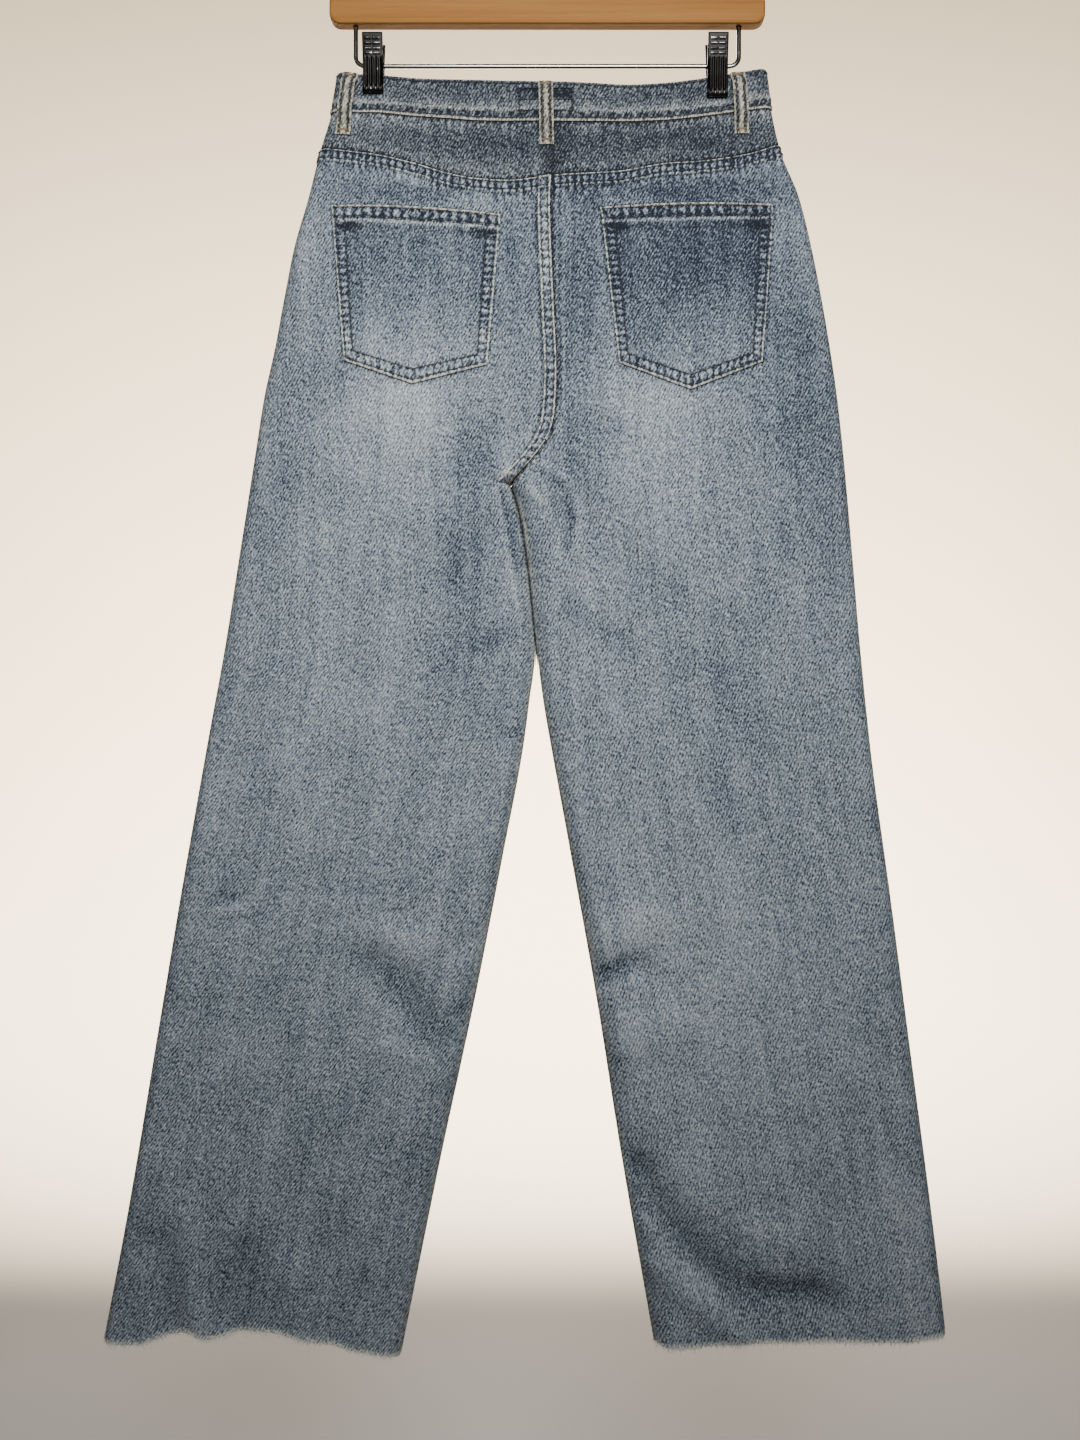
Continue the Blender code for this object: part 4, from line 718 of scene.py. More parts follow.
def scoop_line(side, x, drop, lap=0.0):
    edge = side_x(side, drop)
    half_width = np.abs(edge - SCOOP_X[side]) + lap
    across = np.clip(np.abs(edge - x) / half_width, 0, 1)
    return front_seam(x) + (SCOOP_DEPTH + lap) * np.sqrt(1 - across ** 2)


def pocket_distance(side, x, drop):
    """How far each point lies from the outline of the back pocket."""
    around = np.linspace(0, 1, 60)
    zero = np.zeros(60)
    across = np.concatenate([around, zero + 1, around[::-1], zero])
    down = np.concatenate([zero, around, zero + 1, around[::-1]])
    outline = np.stack(pocket_places(side, across, down), axis=1)
    return np.sqrt(squared_distance(x, drop, outline))


def make_panel(node, face, side, cells, raised, values, surface):
    x, drop, _ = cells
    base = cloth_points(face, side, x, drop)
    normals = grid_normals(base, (0, face, 0))
    inner = keep_apart(base - normals * CLOTH, face)
    outer = base + raised[..., None] * normals
    if face == BACK:
        held = side * np.maximum(side * inner[..., 0], side * inner_x(face, side, drop))
        inner[..., 0] = np.where(drop < CROTCH_DROP, held, inner[..., 0])
    else:
        inner = inner + raised[..., None] * normals
    cloth = grain(side, x, drop)
    both = {key: (value, 0.0) for key, value in clipped(values).items()}
    both.update(cloth=(cloth, cloth), inside=(0.0, 1.0), tone=(values["tone"], values["tone"]))
    return shell("jeans_" + node, outer, inner, both, surface, node)


def seam_profile(distance, width):
    """1 on a felled band, with a rolled outer edge and a soft inner one."""
    return smooth(-0.1, 0.5, distance) * (1 - smooth(width, width + 0.7, distance))


def rows_of_stitches(distance, *places):
    """Dark stripes where rows of stitches sink into the cloth: unfaded indigo there, with painted
    shade in the channels.
    """
    return sum(bell(distance - place, STITCH_CHANNEL) for place in places)


def above_crotch(drop):
    return smooth(CROTCH_DROP + 2, CROTCH_DROP - 4, drop)


def leg_and_hem_wear(face, side, x, drop, distance):
    """The rubbed inner edge of a leg, and the pale loose yarn above its cut."""
    leg = smooth(CROTCH_DROP, CROTCH_DROP + 20, drop)
    hem = follow(HEMS[side, face], "drop", x)
    return leg, 0.35 * bell(distance - 1, 2.4) * leg + 0.9 * smooth(5.0, 0.0, hem - drop)


def back_panel(side, surface):
    steps = list(INNER_TURN)
    if side == LEFT:
        steps = sorted(set(steps + SEAT_STEPS))

    def top_line(x, drop):
        return yoke_line(x) + HALF_GAP

    cells = panel_cells(BACK, side, top_line, BACK_TOP_ROWS, panel_levels(BACK_STEP), steps,
                        BACK_STEP)
    x, drop, distance = cells
    below_top = drop - yoke_line(x) - HALF_GAP
    band = seam_profile(below_top, FELLED_WIDTH)
    pucker = band * 0.9 + 0.35 * bell(below_top - 12.5, 4)
    hang = smooth(9.0, 11.5, below_top) * (1 - smooth(13, 27, below_top))
    worn = 1.0 * bell(below_top - 0.5, 0.75) + 0.45 * bell(below_top - 9.4, 0.8)
    dark = 0.8 * rows_of_stitches(below_top, *YOKE_STITCHES) * band
    # Painted shadow under the felled band's lower edge.
    dark = dark + 0.5 * bell(below_top - 10.8, 0.9)
    phase = x / YOKE_RUNG
    above = above_crotch(drop)
    leg, rubbed = leg_and_hem_wear(BACK, side, x, drop, distance)
    slit = leg * smooth(440, 380, drop)
    if side == LEFT:
        seat = seam_profile(distance, FELLED_WIDTH) * (drop < CROTCH_DROP - 1)
        phase = np.where(seat > band, drop / SEAT_RUNG, phase)
        dark = dark * (1 - seat) + 0.75 * rows_of_stitches(distance, *SEAT_STITCHES) * seat
        band = np.maximum(band, seat)
        pucker = np.maximum(pucker * (1 - seat), seat * 0.7 * above)
        worn = worn + (1.1 * bell(distance - 0.5, 0.9) + 0.8 * bell(distance - 9.2, 0.8)) * above
        worn = worn + 0.35 * seat * bell(drop - 150, 60)
        # Painted shadow along the seat seam band's inner edge.
        dark = dark + 0.6 * bell(distance - 10.8, 1.0) * above
        hang = hang * (1 - seat)
        tip = bell(np.hypot(x - CROTCH_X, drop - CROTCH_DROP + 4), 9)
        worn = worn + 0.5 * tip
        # Painted shade in the hollow along the left leg's inner edge below the crotch.
        dark = dark * (1 - tip) + 0.5 * bell(distance, 2.6) * slit
    else:
        # Painted shadow beside the middle seam, where the left panel laps over the right.
        dark = dark + 0.85 * bell(distance, 2.6) * above
        pucker = pucker + 0.4 * bell(distance - 4, 5) * above
        worn = worn + 0.8 * bell(distance - 1.2, 1.3) * slit
    # 'beside' is a painted shadow just outside the back pocket's edge.
    values = {"tone": tone(BACK, x, drop), "pucker": pucker, "hang": hang, "phase": phase,
              "worn": worn + rubbed, "dark": dark,
              "beside": 1 - pocket_distance(side, x, drop) / POCKET_SHADOW}
    piece = make_panel("back_" + SIDE_NAMES[side], BACK, side, cells, band * FELLED_RISE, values,
                       surface)
    return piece, cells


def front_panel(side, surface):
    def top_line(x, drop):
        return scoop_line(side, x, drop) + BAND_HALF_GAP

    cells = panel_cells(FRONT, side, top_line, FRONT_TOP_ROWS, panel_levels(FRONT_STEP),
                        list(INNER_TURN), FRONT_STEP)
    x, drop, distance = cells
    raised = np.zeros_like(x)
    if side == LEFT:
        near = 1 - smooth(FLY_RAMP[1], FLY_RAMP[0], middle_x(FRONT, drop) - x)
        raised = FLY_RISE * near * (1 - smooth(*FLY_SETTLES, drop))
    below_top = drop - scoop_line(side, x, drop)
    above = above_crotch(drop)
    _, rubbed = leg_and_hem_wear(FRONT, side, x, drop, distance)
    worn = 0.7 * bell(below_top - 0.5, 1.4) + 0.5 * bell(distance - 0.6, 1.2) * above
    values = {"tone": tone(FRONT, x, drop), "phase": (x + drop) / YOKE_RUNG,
              "pucker": 0.8 * bell(below_top - 4.5, 5) + 0.5 * bell(distance - 4, 6) * above,
              "worn": worn + rubbed,
              # Painted shade where the two front panels meet at the middle seam; the stitch rows are
              # dark too.
              "dark": 0.3 * bell(distance, 2) * above
                      + 0.6 * rows_of_stitches(below_top, *SCOOP_STITCHES)}
    piece = make_panel("front_" + SIDE_NAMES[side], FRONT, side, cells, raised, values, surface)
    return piece, cells


def yoke(side, surface):
    shares = np.array([0, 0.02, 0.05] + list(np.linspace(0.1, 0.9, 16)) + [0.95, 0.98, 1])[:, None]
    spans = int(WIDEST / YOKE_STEP)
    columns = len(INNER_TURN) - 1 + spans + len(SIDE_TURN_STEPS)
    drop = np.full((len(shares), columns), FIRST_DROP)
    for _ in range(SETTLING_ROUNDS):
        x, distance = across_cells(BACK, side, drop, INNER_TURN, spans)
        top = follow(BACK_LINES, "seam", x) + BAND_HALF_GAP
        drop = mix(top, yoke_line(x) - HALF_GAP, shares)
    above_seam = yoke_line(x) - drop
    below_band = drop - follow(BACK_LINES, "seam", x)
    base = cloth_points(BACK, side, x, drop)
    under = keep_apart(base - grid_normals(base, (0, BACK, 0)) * CLOTH, BACK)
    values = {
        "tone": tone(BACK, x, drop), "phase": x / YOKE_RUNG,
        "pucker": 0.5 * bell(below_band, 6) + 0.4 * bell(above_seam, 5),
        "hang": smooth(0.5, 3, below_band) * (1 - smooth(4, 15, below_band))
                + 0.5 * bell(above_seam - 6, 4),
        # Painted shadow: the dark lines under the waistband's lower edge and above the back panel's
        # lapped top edge.
        "dark": 0.9 * bell(above_seam, 1.5) + 0.9 * bell(below_band, 1.3)
                + 0.6 * bell(distance, 7)}
    return cloth_piece("yoke_" + SIDE_NAMES[side], base, under, (x, drop), values, surface)


def pocket_facing(side, surface):
    shares = np.linspace(0, 1, 36)[:-1]
    count = len(shares)
    downs = np.array(list(np.linspace(0, 0.9, 24)) + [0.94, 0.97, 1])[:, None]
    drop = np.full((len(downs), count + len(SIDE_TURN_STEPS)), FIRST_DROP)
    start = np.abs(SCOOP_X[side]) - FACING_LAP + 0.5
    for _ in range(SETTLING_ROUNDS):
        edge = np.abs(side_x(side, drop))
        side_round = follow(SECTIONS, "side_round", drop)
        reach = (edge - side_round)[:, :count]
        place = edge - side_round * np.append(np.zeros(count), SIDE_TURN_STEPS)
        place[:, :count] = mix(start, reach, 1 - np.cos(shares * math.pi / 2))
        x = side * place
        drop = mix(front_seam(x) + BAND_HALF_GAP, scoop_line(side, x, drop, FACING_LAP), downs)
    base = cloth_points(FRONT, side, x, drop)
    normals = grid_normals(base, (0, FRONT, 0))
    half_width = np.abs(side_x(side, drop) - SCOOP_X[side])
    share = np.hypot(np.abs(side_x(side, drop) - x) / half_width,
                     (drop - front_seam(x)) / SCOOP_DEPTH)
    inside = (1 - share) * SCOOP_DEPTH
    sunk = mix(FACING_LIFT, -0.2, smooth(3, 14, inside))[..., None]
    outer = keep_apart(base + normals * sunk, FRONT)
    under = keep_apart(base + normals * (sunk - FACING_CLOTH), FRONT)
    # Painted shade along the facing's edge, under the front panel's scooped edge.
    values = {"tone": tone(FRONT, x, drop) - 0.05, "dark": 0.8 * bell(inside - 1, 3),
              "pucker": 0.5 * bell(drop - front_seam(x), 5)}
    return cloth_piece("pocket_facing_" + SIDE_NAMES[side], outer, under, (x, drop), values,
                       surface)


# ---------------------------------------------------------------- the waistband


def band_edge(face, x, edge):
    back = follow(BACK_LINES, edge, x)
    front = follow(FRONT_LINES, edge, x)
    return np.where(np.asarray(face) == BACK, back, front)


# The bare rectangle stitched on the band at the centre of the back.
PATCH_ACROSS = (-23.0, 20.0)
PATCH_DOWN = (20.0, 38.6)
# The band's rows of points, close together at its edges and along its seams.
BAND_SHARES = np.array([
    0, 0.012, 0.03, 0.05, 0.065, 0.078, 0.095, 0.115, 0.15, 0.17, 0.185, 0.2, 0.23, 0.28, 0.34,
    0.4, 0.45, 0.475, 0.5, 0.54, 0.6, 0.65, 0.69, 0.72, 0.735, 0.75, 0.765, 0.8, 0.835, 0.865,
    0.895, 0.912, 0.925, 0.94, 0.955, 0.97, 0.985, 1])


def band_stations(step=2.6):
    """Faces, sides, and the x or the step in the turn, of each column round the band."""
    stations = []

    def straight(face, from_x, to_x):
        count = max(2, int(abs(to_x - from_x) / step))
        places = np.linspace(from_x, to_x, count + 1)[:-1]
        if face == BACK:
            edges = [edge + off for edge in PATCH_ACROSS for off in (-1.2, -0.4, 0.4, 1.2)]
            places = np.sort(np.concatenate([places, edges]))
        for x in places:
            stations.append((face, LEFT if x < 0 else RIGHT, float(x), -1.0))

    def turn(first_face, side):
        for share in SIDE_TURN_STEPS[:-1]:
            stations.append((first_face, side, 0.0, float(share)))
        stations.append((first_face, side, 0.0, 0.0))
        for share in SIDE_TURN_STEPS[:-1][::-1]:
            stations.append((-first_face, side, 0.0, float(share)))

    left_end = CLIP_X[LEFT] - CLIP_FLAT
    right_end = CLIP_X[RIGHT] + CLIP_FLAT
    straight(FRONT, BAND_OVERLAP, left_end - 4)
    turn(FRONT, LEFT)
    straight(BACK, left_end - 4, right_end + 4)
    turn(BACK, RIGHT)
    straight(FRONT, right_end + 4, BAND_UNDERLAP)
    stations.append((FRONT, LEFT, BAND_UNDERLAP, -1.0))
    return [np.array(column) for column in zip(*stations)]


def band_rows(stations, shares):
    """Points on the cloth under the band, one row for each share of its height."""
    face, side, fixed_x, step = stations
    count = len(face)
    rows = []
    drops = []
    for share in shares:
        drop = np.full(count, 15.0)
        for _ in range(5):
            turned = np.zeros(count)
            for one in (LEFT, RIGHT):
                at = side == one
                edge = side_x(one, drop[at])
                turned[at] = edge - one * step[at] * follow(SECTIONS, "side_round", drop[at])
            x = np.where(step < 0, fixed_x, turned)
            low = band_edge(face, x, "seam") - BAND_HALF_GAP
            drop = mix(band_edge(face, x, "waist"), low, share)
        depth = np.zeros(count)
        for one_face in (BACK, FRONT):
            for one in (LEFT, RIGHT):
                at = (side == one) & (face == one_face)
                depth[at] = half_depth(one_face, one, x[at], drop[at])
        rows.append(np.stack([x, face * depth, WAIST_HEIGHT - drop], axis=-1))
        drops.append(drop)
    return np.array(rows), np.array(drops)


def band_surface(stations, shares):
    """The band's points and normals, with its far end under the near one in front."""
    points, drops = band_rows(stations, shares)
    normals = grid_normals(points, (0, BACK, 0))
    x = points[0, :, 0]
    last_run = np.arange(len(x)) > len(x) // 2
    under = np.where(last_run & (stations[0] == FRONT), 1 - smooth(*BAND_SINKS, x), 0.0)
    return points - (under * BAND_UNDER)[None, :, None] * normals, normals, drops


def band_marks(x, drops, on_back):
    """Where the waistband is dark: the bare rectangle at the back's centre and its outline."""
    left, right = PATCH_ACROSS
    high, low = PATCH_DOWN
    patch = smooth(left - 1, left + 1, x) * (1 - smooth(right - 1, right + 1, x))
    patch = patch * smooth(high - 1, high + 1, drops) * (1 - smooth(28, 30, drops))
    patch = patch * (0.35 + 0.65 * smooth(-16, -9, x))
    across = smooth(left - 1, left, x) * smooth(right + 1, right, x)
    down = smooth(high - 1, high, drops) * smooth(low + 1, low, drops)
    outline = sum(bell(x - edge, 0.9) * down for edge in PATCH_ACROSS)
    outline = outline + sum(bell(drops - edge, 0.9) * across for edge in PATCH_DOWN)
    return (0.7 * patch + 1.2 * outline) * on_back[None, :]


def waistband(surface):
    stations = band_stations()
    points, normals, drops = band_surface(stations, BAND_SHARES)
    at = BAND_SHARES[:, None] * BAND_HEIGHT
    x = points[..., 0]
    along = np.broadcast_to(lengths_along(points[0]), x.shape)
    twist = along / ROPING_LENGTH * math.tau
    clear = smooth(12, 22, np.minimum(np.abs(x - CLIP_X[LEFT]), np.abs(x - CLIP_X[RIGHT])))
    roll = 0.35 * bell(at - 24.5, 2.2) + 0.3 * bell(at - 31.5, 1.2) - 0.3 * bell(at - 28.6, 1.2)
    roping = 0.22 * np.sin(twist + at * 0.35) * bell(at - 24, 4)
    puffs = 0.12 * soft_noise(along / 6, at / 5 + 3, 21)
    out = BAND_OUT + (roll + roping + puffs) * (0.15 + 0.85 * clear)
    round_edges = 0.7 * bell(at, 0.8) + 0.35 * bell(BAND_HEIGHT - at, 0.7)
    outer = points + normals * (out - round_edges)[..., None]
    spots = smooth(-0.1, 0.9, np.sin(twist + 1.4 * soft_noise(along / 20, at, 6)))
    values = {
        "tone": BAND_TONE + 0.10 * bell(at - 23, 5) - 0.02 * bell(at - 30, 3),
        "pucker": 0.6 * bell(at - 29, 3) + 0.5 * bell(at - 4, 3),
        "hang": 0.6 * bell(at - 20, 5),
        "phase": along / YOKE_RUNG + at / 14,
        "worn": 0.6 * bell(at, 0.9) + 1.2 * bell(32.6 - at, 1.0) + 0.3 * bell(at - 24, 1.6),
        "dark": 0.85 * bell(at - 27, 1.9) * spots + band_marks(x, drops, stations[0] == BACK)
                + 0.6 * rows_of_stitches(at, *BAND_STITCHES)}
    return cloth_piece("waistband", outer, points + normals * BAND_IN, (along, at), values,
                       surface, inside=0.6)


# ---------------------------------------------------------------- pockets and loops


def pocket_size(side):
    """The width of a back pocket's top and its height at the sides, in mm."""
    corners = POCKETS[side]
    width = abs(corners.top_outer[0] - corners.top_inner[0])
    return width, corners.low_inner[1] - corners.top_inner[1] + 6


def pocket_places(side, across, down):
    corners = POCKETS[side]

    def between(first, last, share):
        return [mix(one, other, share) for one, other in zip(first, last)]

    top_x, top_drop = between(corners.top_inner, corners.top_outer, across)
    top_drop = top_drop - POCKET_ARCH * np.sin(math.pi * across)
    to_tip = between(corners.low_inner, corners.tip, across * 2)
    from_tip = between(corners.tip, corners.low_outer, across * 2 - 1)
    low_x, low_drop = np.where(across < 0.5, to_tip, from_tip)
    return mix(top_x, low_x, down), mix(top_drop, low_drop, down)


def edge_steps(length, step):
    """Places from 0 to a length that crowd at both ends."""
    start = [0, 0.35, 0.8, 1.3, 1.9, 2.5, 3.4, 4.6, 6.0, 7.4, 8.6, 9.2, 9.6, 10.1, 10.6, 11.2]
    middle = np.linspace(12.4, length - 12.4, int((length - 24.8) / step) + 1)
    return np.array(start + list(middle) + [length - s for s in reversed(start)]) / length


def back_pocket(side, surface):
    width, height = pocket_size(side)
    across = edge_steps(width, POCKET_STEP)[None, :]
    downs = np.concatenate([edge_steps(height, POCKET_STEP), np.array([10.35, 10.9]) / height])
    downs = np.sort(downs)[:, None]
    x, drop = pocket_places(side, across, downs)
    at = np.broadcast_to(downs * height, x.shape)
    from_side = np.broadcast_to(np.minimum(across, 1 - across) * width, x.shape)
    from_low = height - at
    from_turn = np.minimum(from_side, from_low)
    from_edge = np.minimum(from_turn, at)
    hem = 1 - smooth(POCKET_HEM - 0.3, POCKET_HEM + 0.5, at)
    folded = 1 - smooth(9.4, 10.6, from_turn)
    along = np.where(from_low < from_side, x, drop)
    wave = soft_noise(along / 3.6 + 9, from_turn / 9, 31 + side)
    ribs = soft_noise(x / 4.4, from_low / 22, 35 + side) * bell(from_low - 14, 14)
    lift = POCKET_SEAT + POCKET_CLOTH + hem * POCKET_HEM_RISE + 0.3 * folded * (1 - hem)
    lift = lift + 0.22 * wave * folded * smooth(0.5, 2, from_edge) + 0.3 * ribs
    lift = lift - 0.9 * (1 - smooth(0, 1.2, from_edge)) ** 2
    outer, _ = surface_frame(BACK, side, x, drop, lift)
    under, _ = on_cloth(BACK, side, x, drop, POCKET_SEAT * 0.6)
    shade = POCKET_TONE[side] - 0.05 * bell(at / height - 0.25, 0.2)
    shade = shade + 0.17 * smooth(0.4, 0.95, at / height)
    shade = shade - 0.05 * bell(from_side - 16, 8) * (1 - hem)
    dark = 0.9 * hem * rows_of_stitches(at, *POCKET_HEM_STITCHES)
    dark = dark + (1 - hem) * rows_of_stitches(from_turn, *POCKET_STITCHES)
    dark = dark + 0.8 * bell(at - 17, 4) * bell(from_side - 13, 9) + 0.3 * bell(at - 17, 3)
    values = {"tone": shade, "pucker": 0.75 * folded + 0.9 * hem, "dark": dark,
              "hang": 0.7 * bell(at - 15, 5) * (1 - hem) + 0.6 * bell(from_low - 14, 9),
              "phase": np.where(hem > 0.5, x / POCKET_HEM_RUNG, along / POCKET_RUNG),
              "worn": 1.0 * bell(from_edge - 0.7, 0.85) + 0.55 * bell(at - 12.0, 1.1)}
    return cloth_piece("back_pocket_" + SIDE_NAMES[side], outer, under, (x, drop), values,
                       surface)


def loop_surface(loop, along, across):
    """Points of a loop's under side, for shares along it and mm across it."""
    side = LEFT if loop.x_top < 0 else RIGHT
    start = float(band_edge(loop.face, loop.x_top, "waist")) + LOOP_TOP
    along, across = np.broadcast_arrays(along, across)
    x = mix(loop.x_top, loop.x_bottom, along) + across
    drop = start + LOOP_LENGTH * along
    seat = follow(LOOP_ROWS, "seat", along)
    rise = follow(LOOP_ROWS, "rise", along)
    seated, _ = surface_frame(loop.face, side, x, drop, seat)
    edges = [half_depth(loop.face, side, mix(loop.x_top, loop.x_bottom, along) + end, drop)
             for end in (-LOOP_WIDTH / 2, LOOP_WIDTH / 2)]
    depth = np.maximum(edges[0], edges[1])
    standing = np.stack([x, loop.face * (depth + loop.stand), WAIST_HEIGHT - drop], axis=-1)
    return mix(seated, standing, rise[..., None])


def belt_loop(loop, surface):
    along = np.concatenate([[0, 0.008, 0.02], np.linspace(0.04, 0.96, 46), [0.98, 0.992, 1]])
    along = along[:, None]
    half = [0.8, 1.7, 2.5, 3.4, 4.3, 5.1, 5.55, 5.8]
    across = np.array([-place for place in half[::-1]] + [0] + half)[None, :]
    under = loop_surface(loop, along, across)
    normals = grid_normals(under, (0, loop.face, 0))
    from_edge = LOOP_WIDTH / 2 - np.abs(across)
    from_end = np.minimum(along, 1 - along) * LOOP_LENGTH
    thick = LOOP_CLOTH + 0.25 * bell(across, 1.6) - 0.25 * bell(np.abs(across) - 3.2, 0.8)
    thick = thick - 0.7 * bell(from_edge, 0.5) - 0.6 * bell(from_end, 0.6)
    thick = thick + 0.1 * soft_noise(across / 2.5 + 5, along * 12, 41 + int(abs(loop.x_top)))
    low = bell((1 - along) * LOOP_LENGTH, 1.4)
    values = {"tone": TONE + 0.02, "pucker": 0.3,
              "worn": 0.8 * bell(from_edge - 0.3, 1.0) + 0.75 * bell(across, 1.7) + 0.9 * low,
              "dark": 1.3 * bell(np.abs(across) - 3.2, 0.95)}
    return cloth_piece(loop.name, under + normals * thick[..., None], under,
                       (across + loop.x_top, along * LOOP_LENGTH), values, surface)


# ---------------------------------------------------------------- sewing thread

STITCH = 2.7
STITCH_GAP = 0.8
THREAD_RADIUS = 0.48
THREAD_STEP = 0.25
STITCH_LIFT = 0.15
# Between which drops the rows of stitches run.
SEAT_SEAM = (48, 331)
ON_YOKE = (68, 92)
ON_BACK_FROM = 96
FRONT_SEAM_STITCHES = (200, 330)
# The fly's stitches: where they start, where the J-shaped rows bend and the edge's row ends.
FLY_STITCHES = (57, 150, 172)
FLY_ROWS = (33.0, 39.0)


def resample(points, normals, step):
    """The same line with points a step apart."""
    along = lengths_along(points)
    at = np.arange(0, along[-1], step)
    return read_line(at, along, points), unit(read_line(at, along, normals)), along[-1]


STITCH_SHAPE = [(0.0, 0.35, -0.35), (0.12, 0.85, -0.05), (0.5, 1.0, 0.12), (0.88, 0.85, -0.05),
                (1.0, 0.35, -0.35)]
STITCH_SIDES = 6


def thread_mesh(name, runs, surface, stitch=STITCH, gap=STITCH_GAP, radius=THREAD_RADIUS):
    """Stitches along lines: each run is its points and the cloth's normals there."""
    vertices = []
    quads = []
    base = 0
    rng = np.random.default_rng(len(name))
    pitch = stitch + gap
    index, one = ring_quads(len(STITCH_SHAPE), STITCH_SIDES)
    last = index[-1, 0]
    one = np.concatenate([one, [[0, 5, 4, 3], [0, 3, 2, 1]],
                          [[last, last + 1, last + 2, last + 3],
                           [last, last + 3, last + 4, last + 5]]])
    for points, normals in runs:
        fine, out, total = resample(points, normals, THREAD_STEP)
        count = int(total / pitch)
        if count < 1 or len(fine) < 8:
            continue
        starts = (np.arange(count) * pitch + rng.uniform(-0.15, 0.15, count)
                  + (total - count * pitch) / 2)
        lengths = stitch + rng.uniform(-0.2, 0.2, count)
        rings = []
        for share, thick, height in STITCH_SHAPE:
            at = np.clip((starts + lengths * share) / THREAD_STEP, 0, len(fine) - 1.001)
            i = at.astype(int)
            f = (at - i)[:, None]
            ahead = unit(fine[np.minimum(i + 2, len(fine) - 1)] - fine[np.maximum(i - 2, 0)])
            across = unit(np.cross(ahead, out[i]))
            place = fine[i] * (1 - f) + fine[i + 1] * f + out[i] * (height * radius * 2)
            for angle in math.tau * np.arange(STITCH_SIDES) / STITCH_SIDES:
                rings.append(place + (across * math.cos(angle) + out[i] * math.sin(angle))
                             * radius * thick)
        vertices.append(np.moveaxis(np.array(rings), 1, 0).reshape(-1, 3))
        offsets = base + np.arange(count)[:, None, None] * index.size
        quads.append((one[None] + offsets).reshape(-1, 4))
        base += count * index.size
    mesh = mesh_from_quads(name, np.concatenate(vertices), np.concatenate(quads), {}, 80)
    return new_object(name, mesh, surface)


def on_cloth(face, side, x, drop, lift):
    x = np.asarray(x, float)
    drop = np.asarray(drop, float)
    return surface_frame(face, side, x, drop, np.full(x.shape, float(lift)))


def seat_runs():
    """The rows beside the seat seam: on the back panel, and above it on the yoke."""
    drop = np.linspace(*SEAT_SEAM, 200)
    runs = []
    for offset in SEAT_STITCHES:
        below_yoke = drop[drop > ON_BACK_FROM + offset]
        on_yoke = drop[(drop > ON_YOKE[0]) & (drop < ON_YOKE[1])]
        for part, lift in ((below_yoke, FELLED_RISE + STITCH_LIFT), (on_yoke, STITCH_LIFT)):
            runs.append(on_cloth(BACK, LEFT, inner_x(BACK, LEFT, part) - offset, part, lift))
    return runs


def yoke_runs():
    runs = []
    for side in (LEFT, RIGHT):
        x = np.linspace(middle_x(BACK, 95) + side * 1.2, side_x(side, 74.0) - side, 160)
        for offset in YOKE_STITCHES:
            runs.append(on_cloth(BACK, side, x, yoke_line(x) + HALF_GAP + offset,
                                 FELLED_RISE + STITCH_LIFT))
    return runs


def pocket_line(side, inset, hem_start):
    """The pocket's sides and bottom, an inset in from its edge."""
    width, height = pocket_size(side)
    near = inset / width
    low = 1 - inset / height
    down = np.linspace(hem_start / height, low, 60)
    across = np.linspace(near, 1 - near, 90)
    share_across = np.concatenate([np.full(60, near), across, np.full(60, 1 - near)])
    share_down = np.concatenate([down, np.full(90, low), down[::-1]])
    return pocket_places(side, share_across, share_down)


def pocket_runs(side):
    runs = []
    for inset, start in zip(POCKET_STITCHES, (1.0, 11.0)):
        x, drop = pocket_line(side, inset, start)
        runs.append(on_cloth(BACK, side, x, drop, POCKET_SEAT + POCKET_CLOTH + 0.38))
    return runs


def pocket_hem_runs(offset):
    runs = []
    for side in (LEFT, RIGHT):
        across = np.linspace(0.015, 0.985, 100)
        x, drop = pocket_places(side, across, offset / pocket_size(side)[1])
        runs.append(on_cloth(BACK, side, x, drop,
                             POCKET_SEAT + POCKET_CLOTH + POCKET_HEM_RISE + 0.12))
    return runs


def band_runs():
    stations = band_stations()
    points, normals, _ = band_surface(stations, np.array([0.0, 0.076, 0.5, 0.924, 1.0]))
    return [(points[row] + normals[row] * (BAND_OUT + 0.12), normals[row]) for row in (1, 3)]


def on_band(x, drop, lift):
    """A line of points and normals on the back of the band."""
    x = x + np.arange(len(x)) * 0.02
    stations = (np.full(len(x), BACK), np.where(x < 0, LEFT, RIGHT), x, np.full(len(x), -1.0))
    points, normals, drops = band_surface(stations, np.linspace(0, 1, 34))
    at, out = (np.array([read_line(drop[i], drops[:, i], grid[:, i]) for i in range(len(x))])
               for grid in (points, normals))
    return at + out * lift, out


def patch_runs():
    """The plain rectangle that is sewn on the band at the centre of the back."""
    left, right = PATCH_ACROSS
    high, low = PATCH_DOWN
    top = np.linspace(left, right, 40)
    side_drop = np.linspace(high, low, 20)
    runs = []
    for x, drop in ((top, np.full(40, high)), (top, np.full(40, low)),
                    (np.full(20, left), side_drop), (np.full(20, right), side_drop),
                    (top, np.full(40, (high + low) / 2))):
        runs.append(on_band(x, drop, BAND_OUT + 0.6))
    return runs


def loop_runs(loop):
    along = np.linspace(0.02, 0.98, 60)
    runs = []
    for across in (-3.1, 3.1):
        under = loop_surface(loop, along[:, None], np.array([[across - 0.5, across, across + 0.5]]))
        normals = grid_normals(under, (0, loop.face, 0))
        runs.append((under[:, 1] + normals[:, 1] * (LOOP_CLOTH - 0.1), normals[:, 1]))
    return runs


def tack_runs(loop):
    """Bar tacks: close threads across a loop at each end."""
    runs = []
    across = np.linspace(-4.6, 4.6, 24)
    for centre in (0.045, 0.93):
        for k in range(4):
            along = centre + (k - 1.5) * 0.45 / LOOP_LENGTH
            grid_along = np.array([along - 0.004, along, along + 0.004])[:, None]
            under = loop_surface(loop, grid_along, across[None, :])
            normals = grid_normals(under, (0, loop.face, 0))
            runs.append((under[1] + normals[1] * (LOOP_CLOTH + 0.3), normals[1]))
    return runs


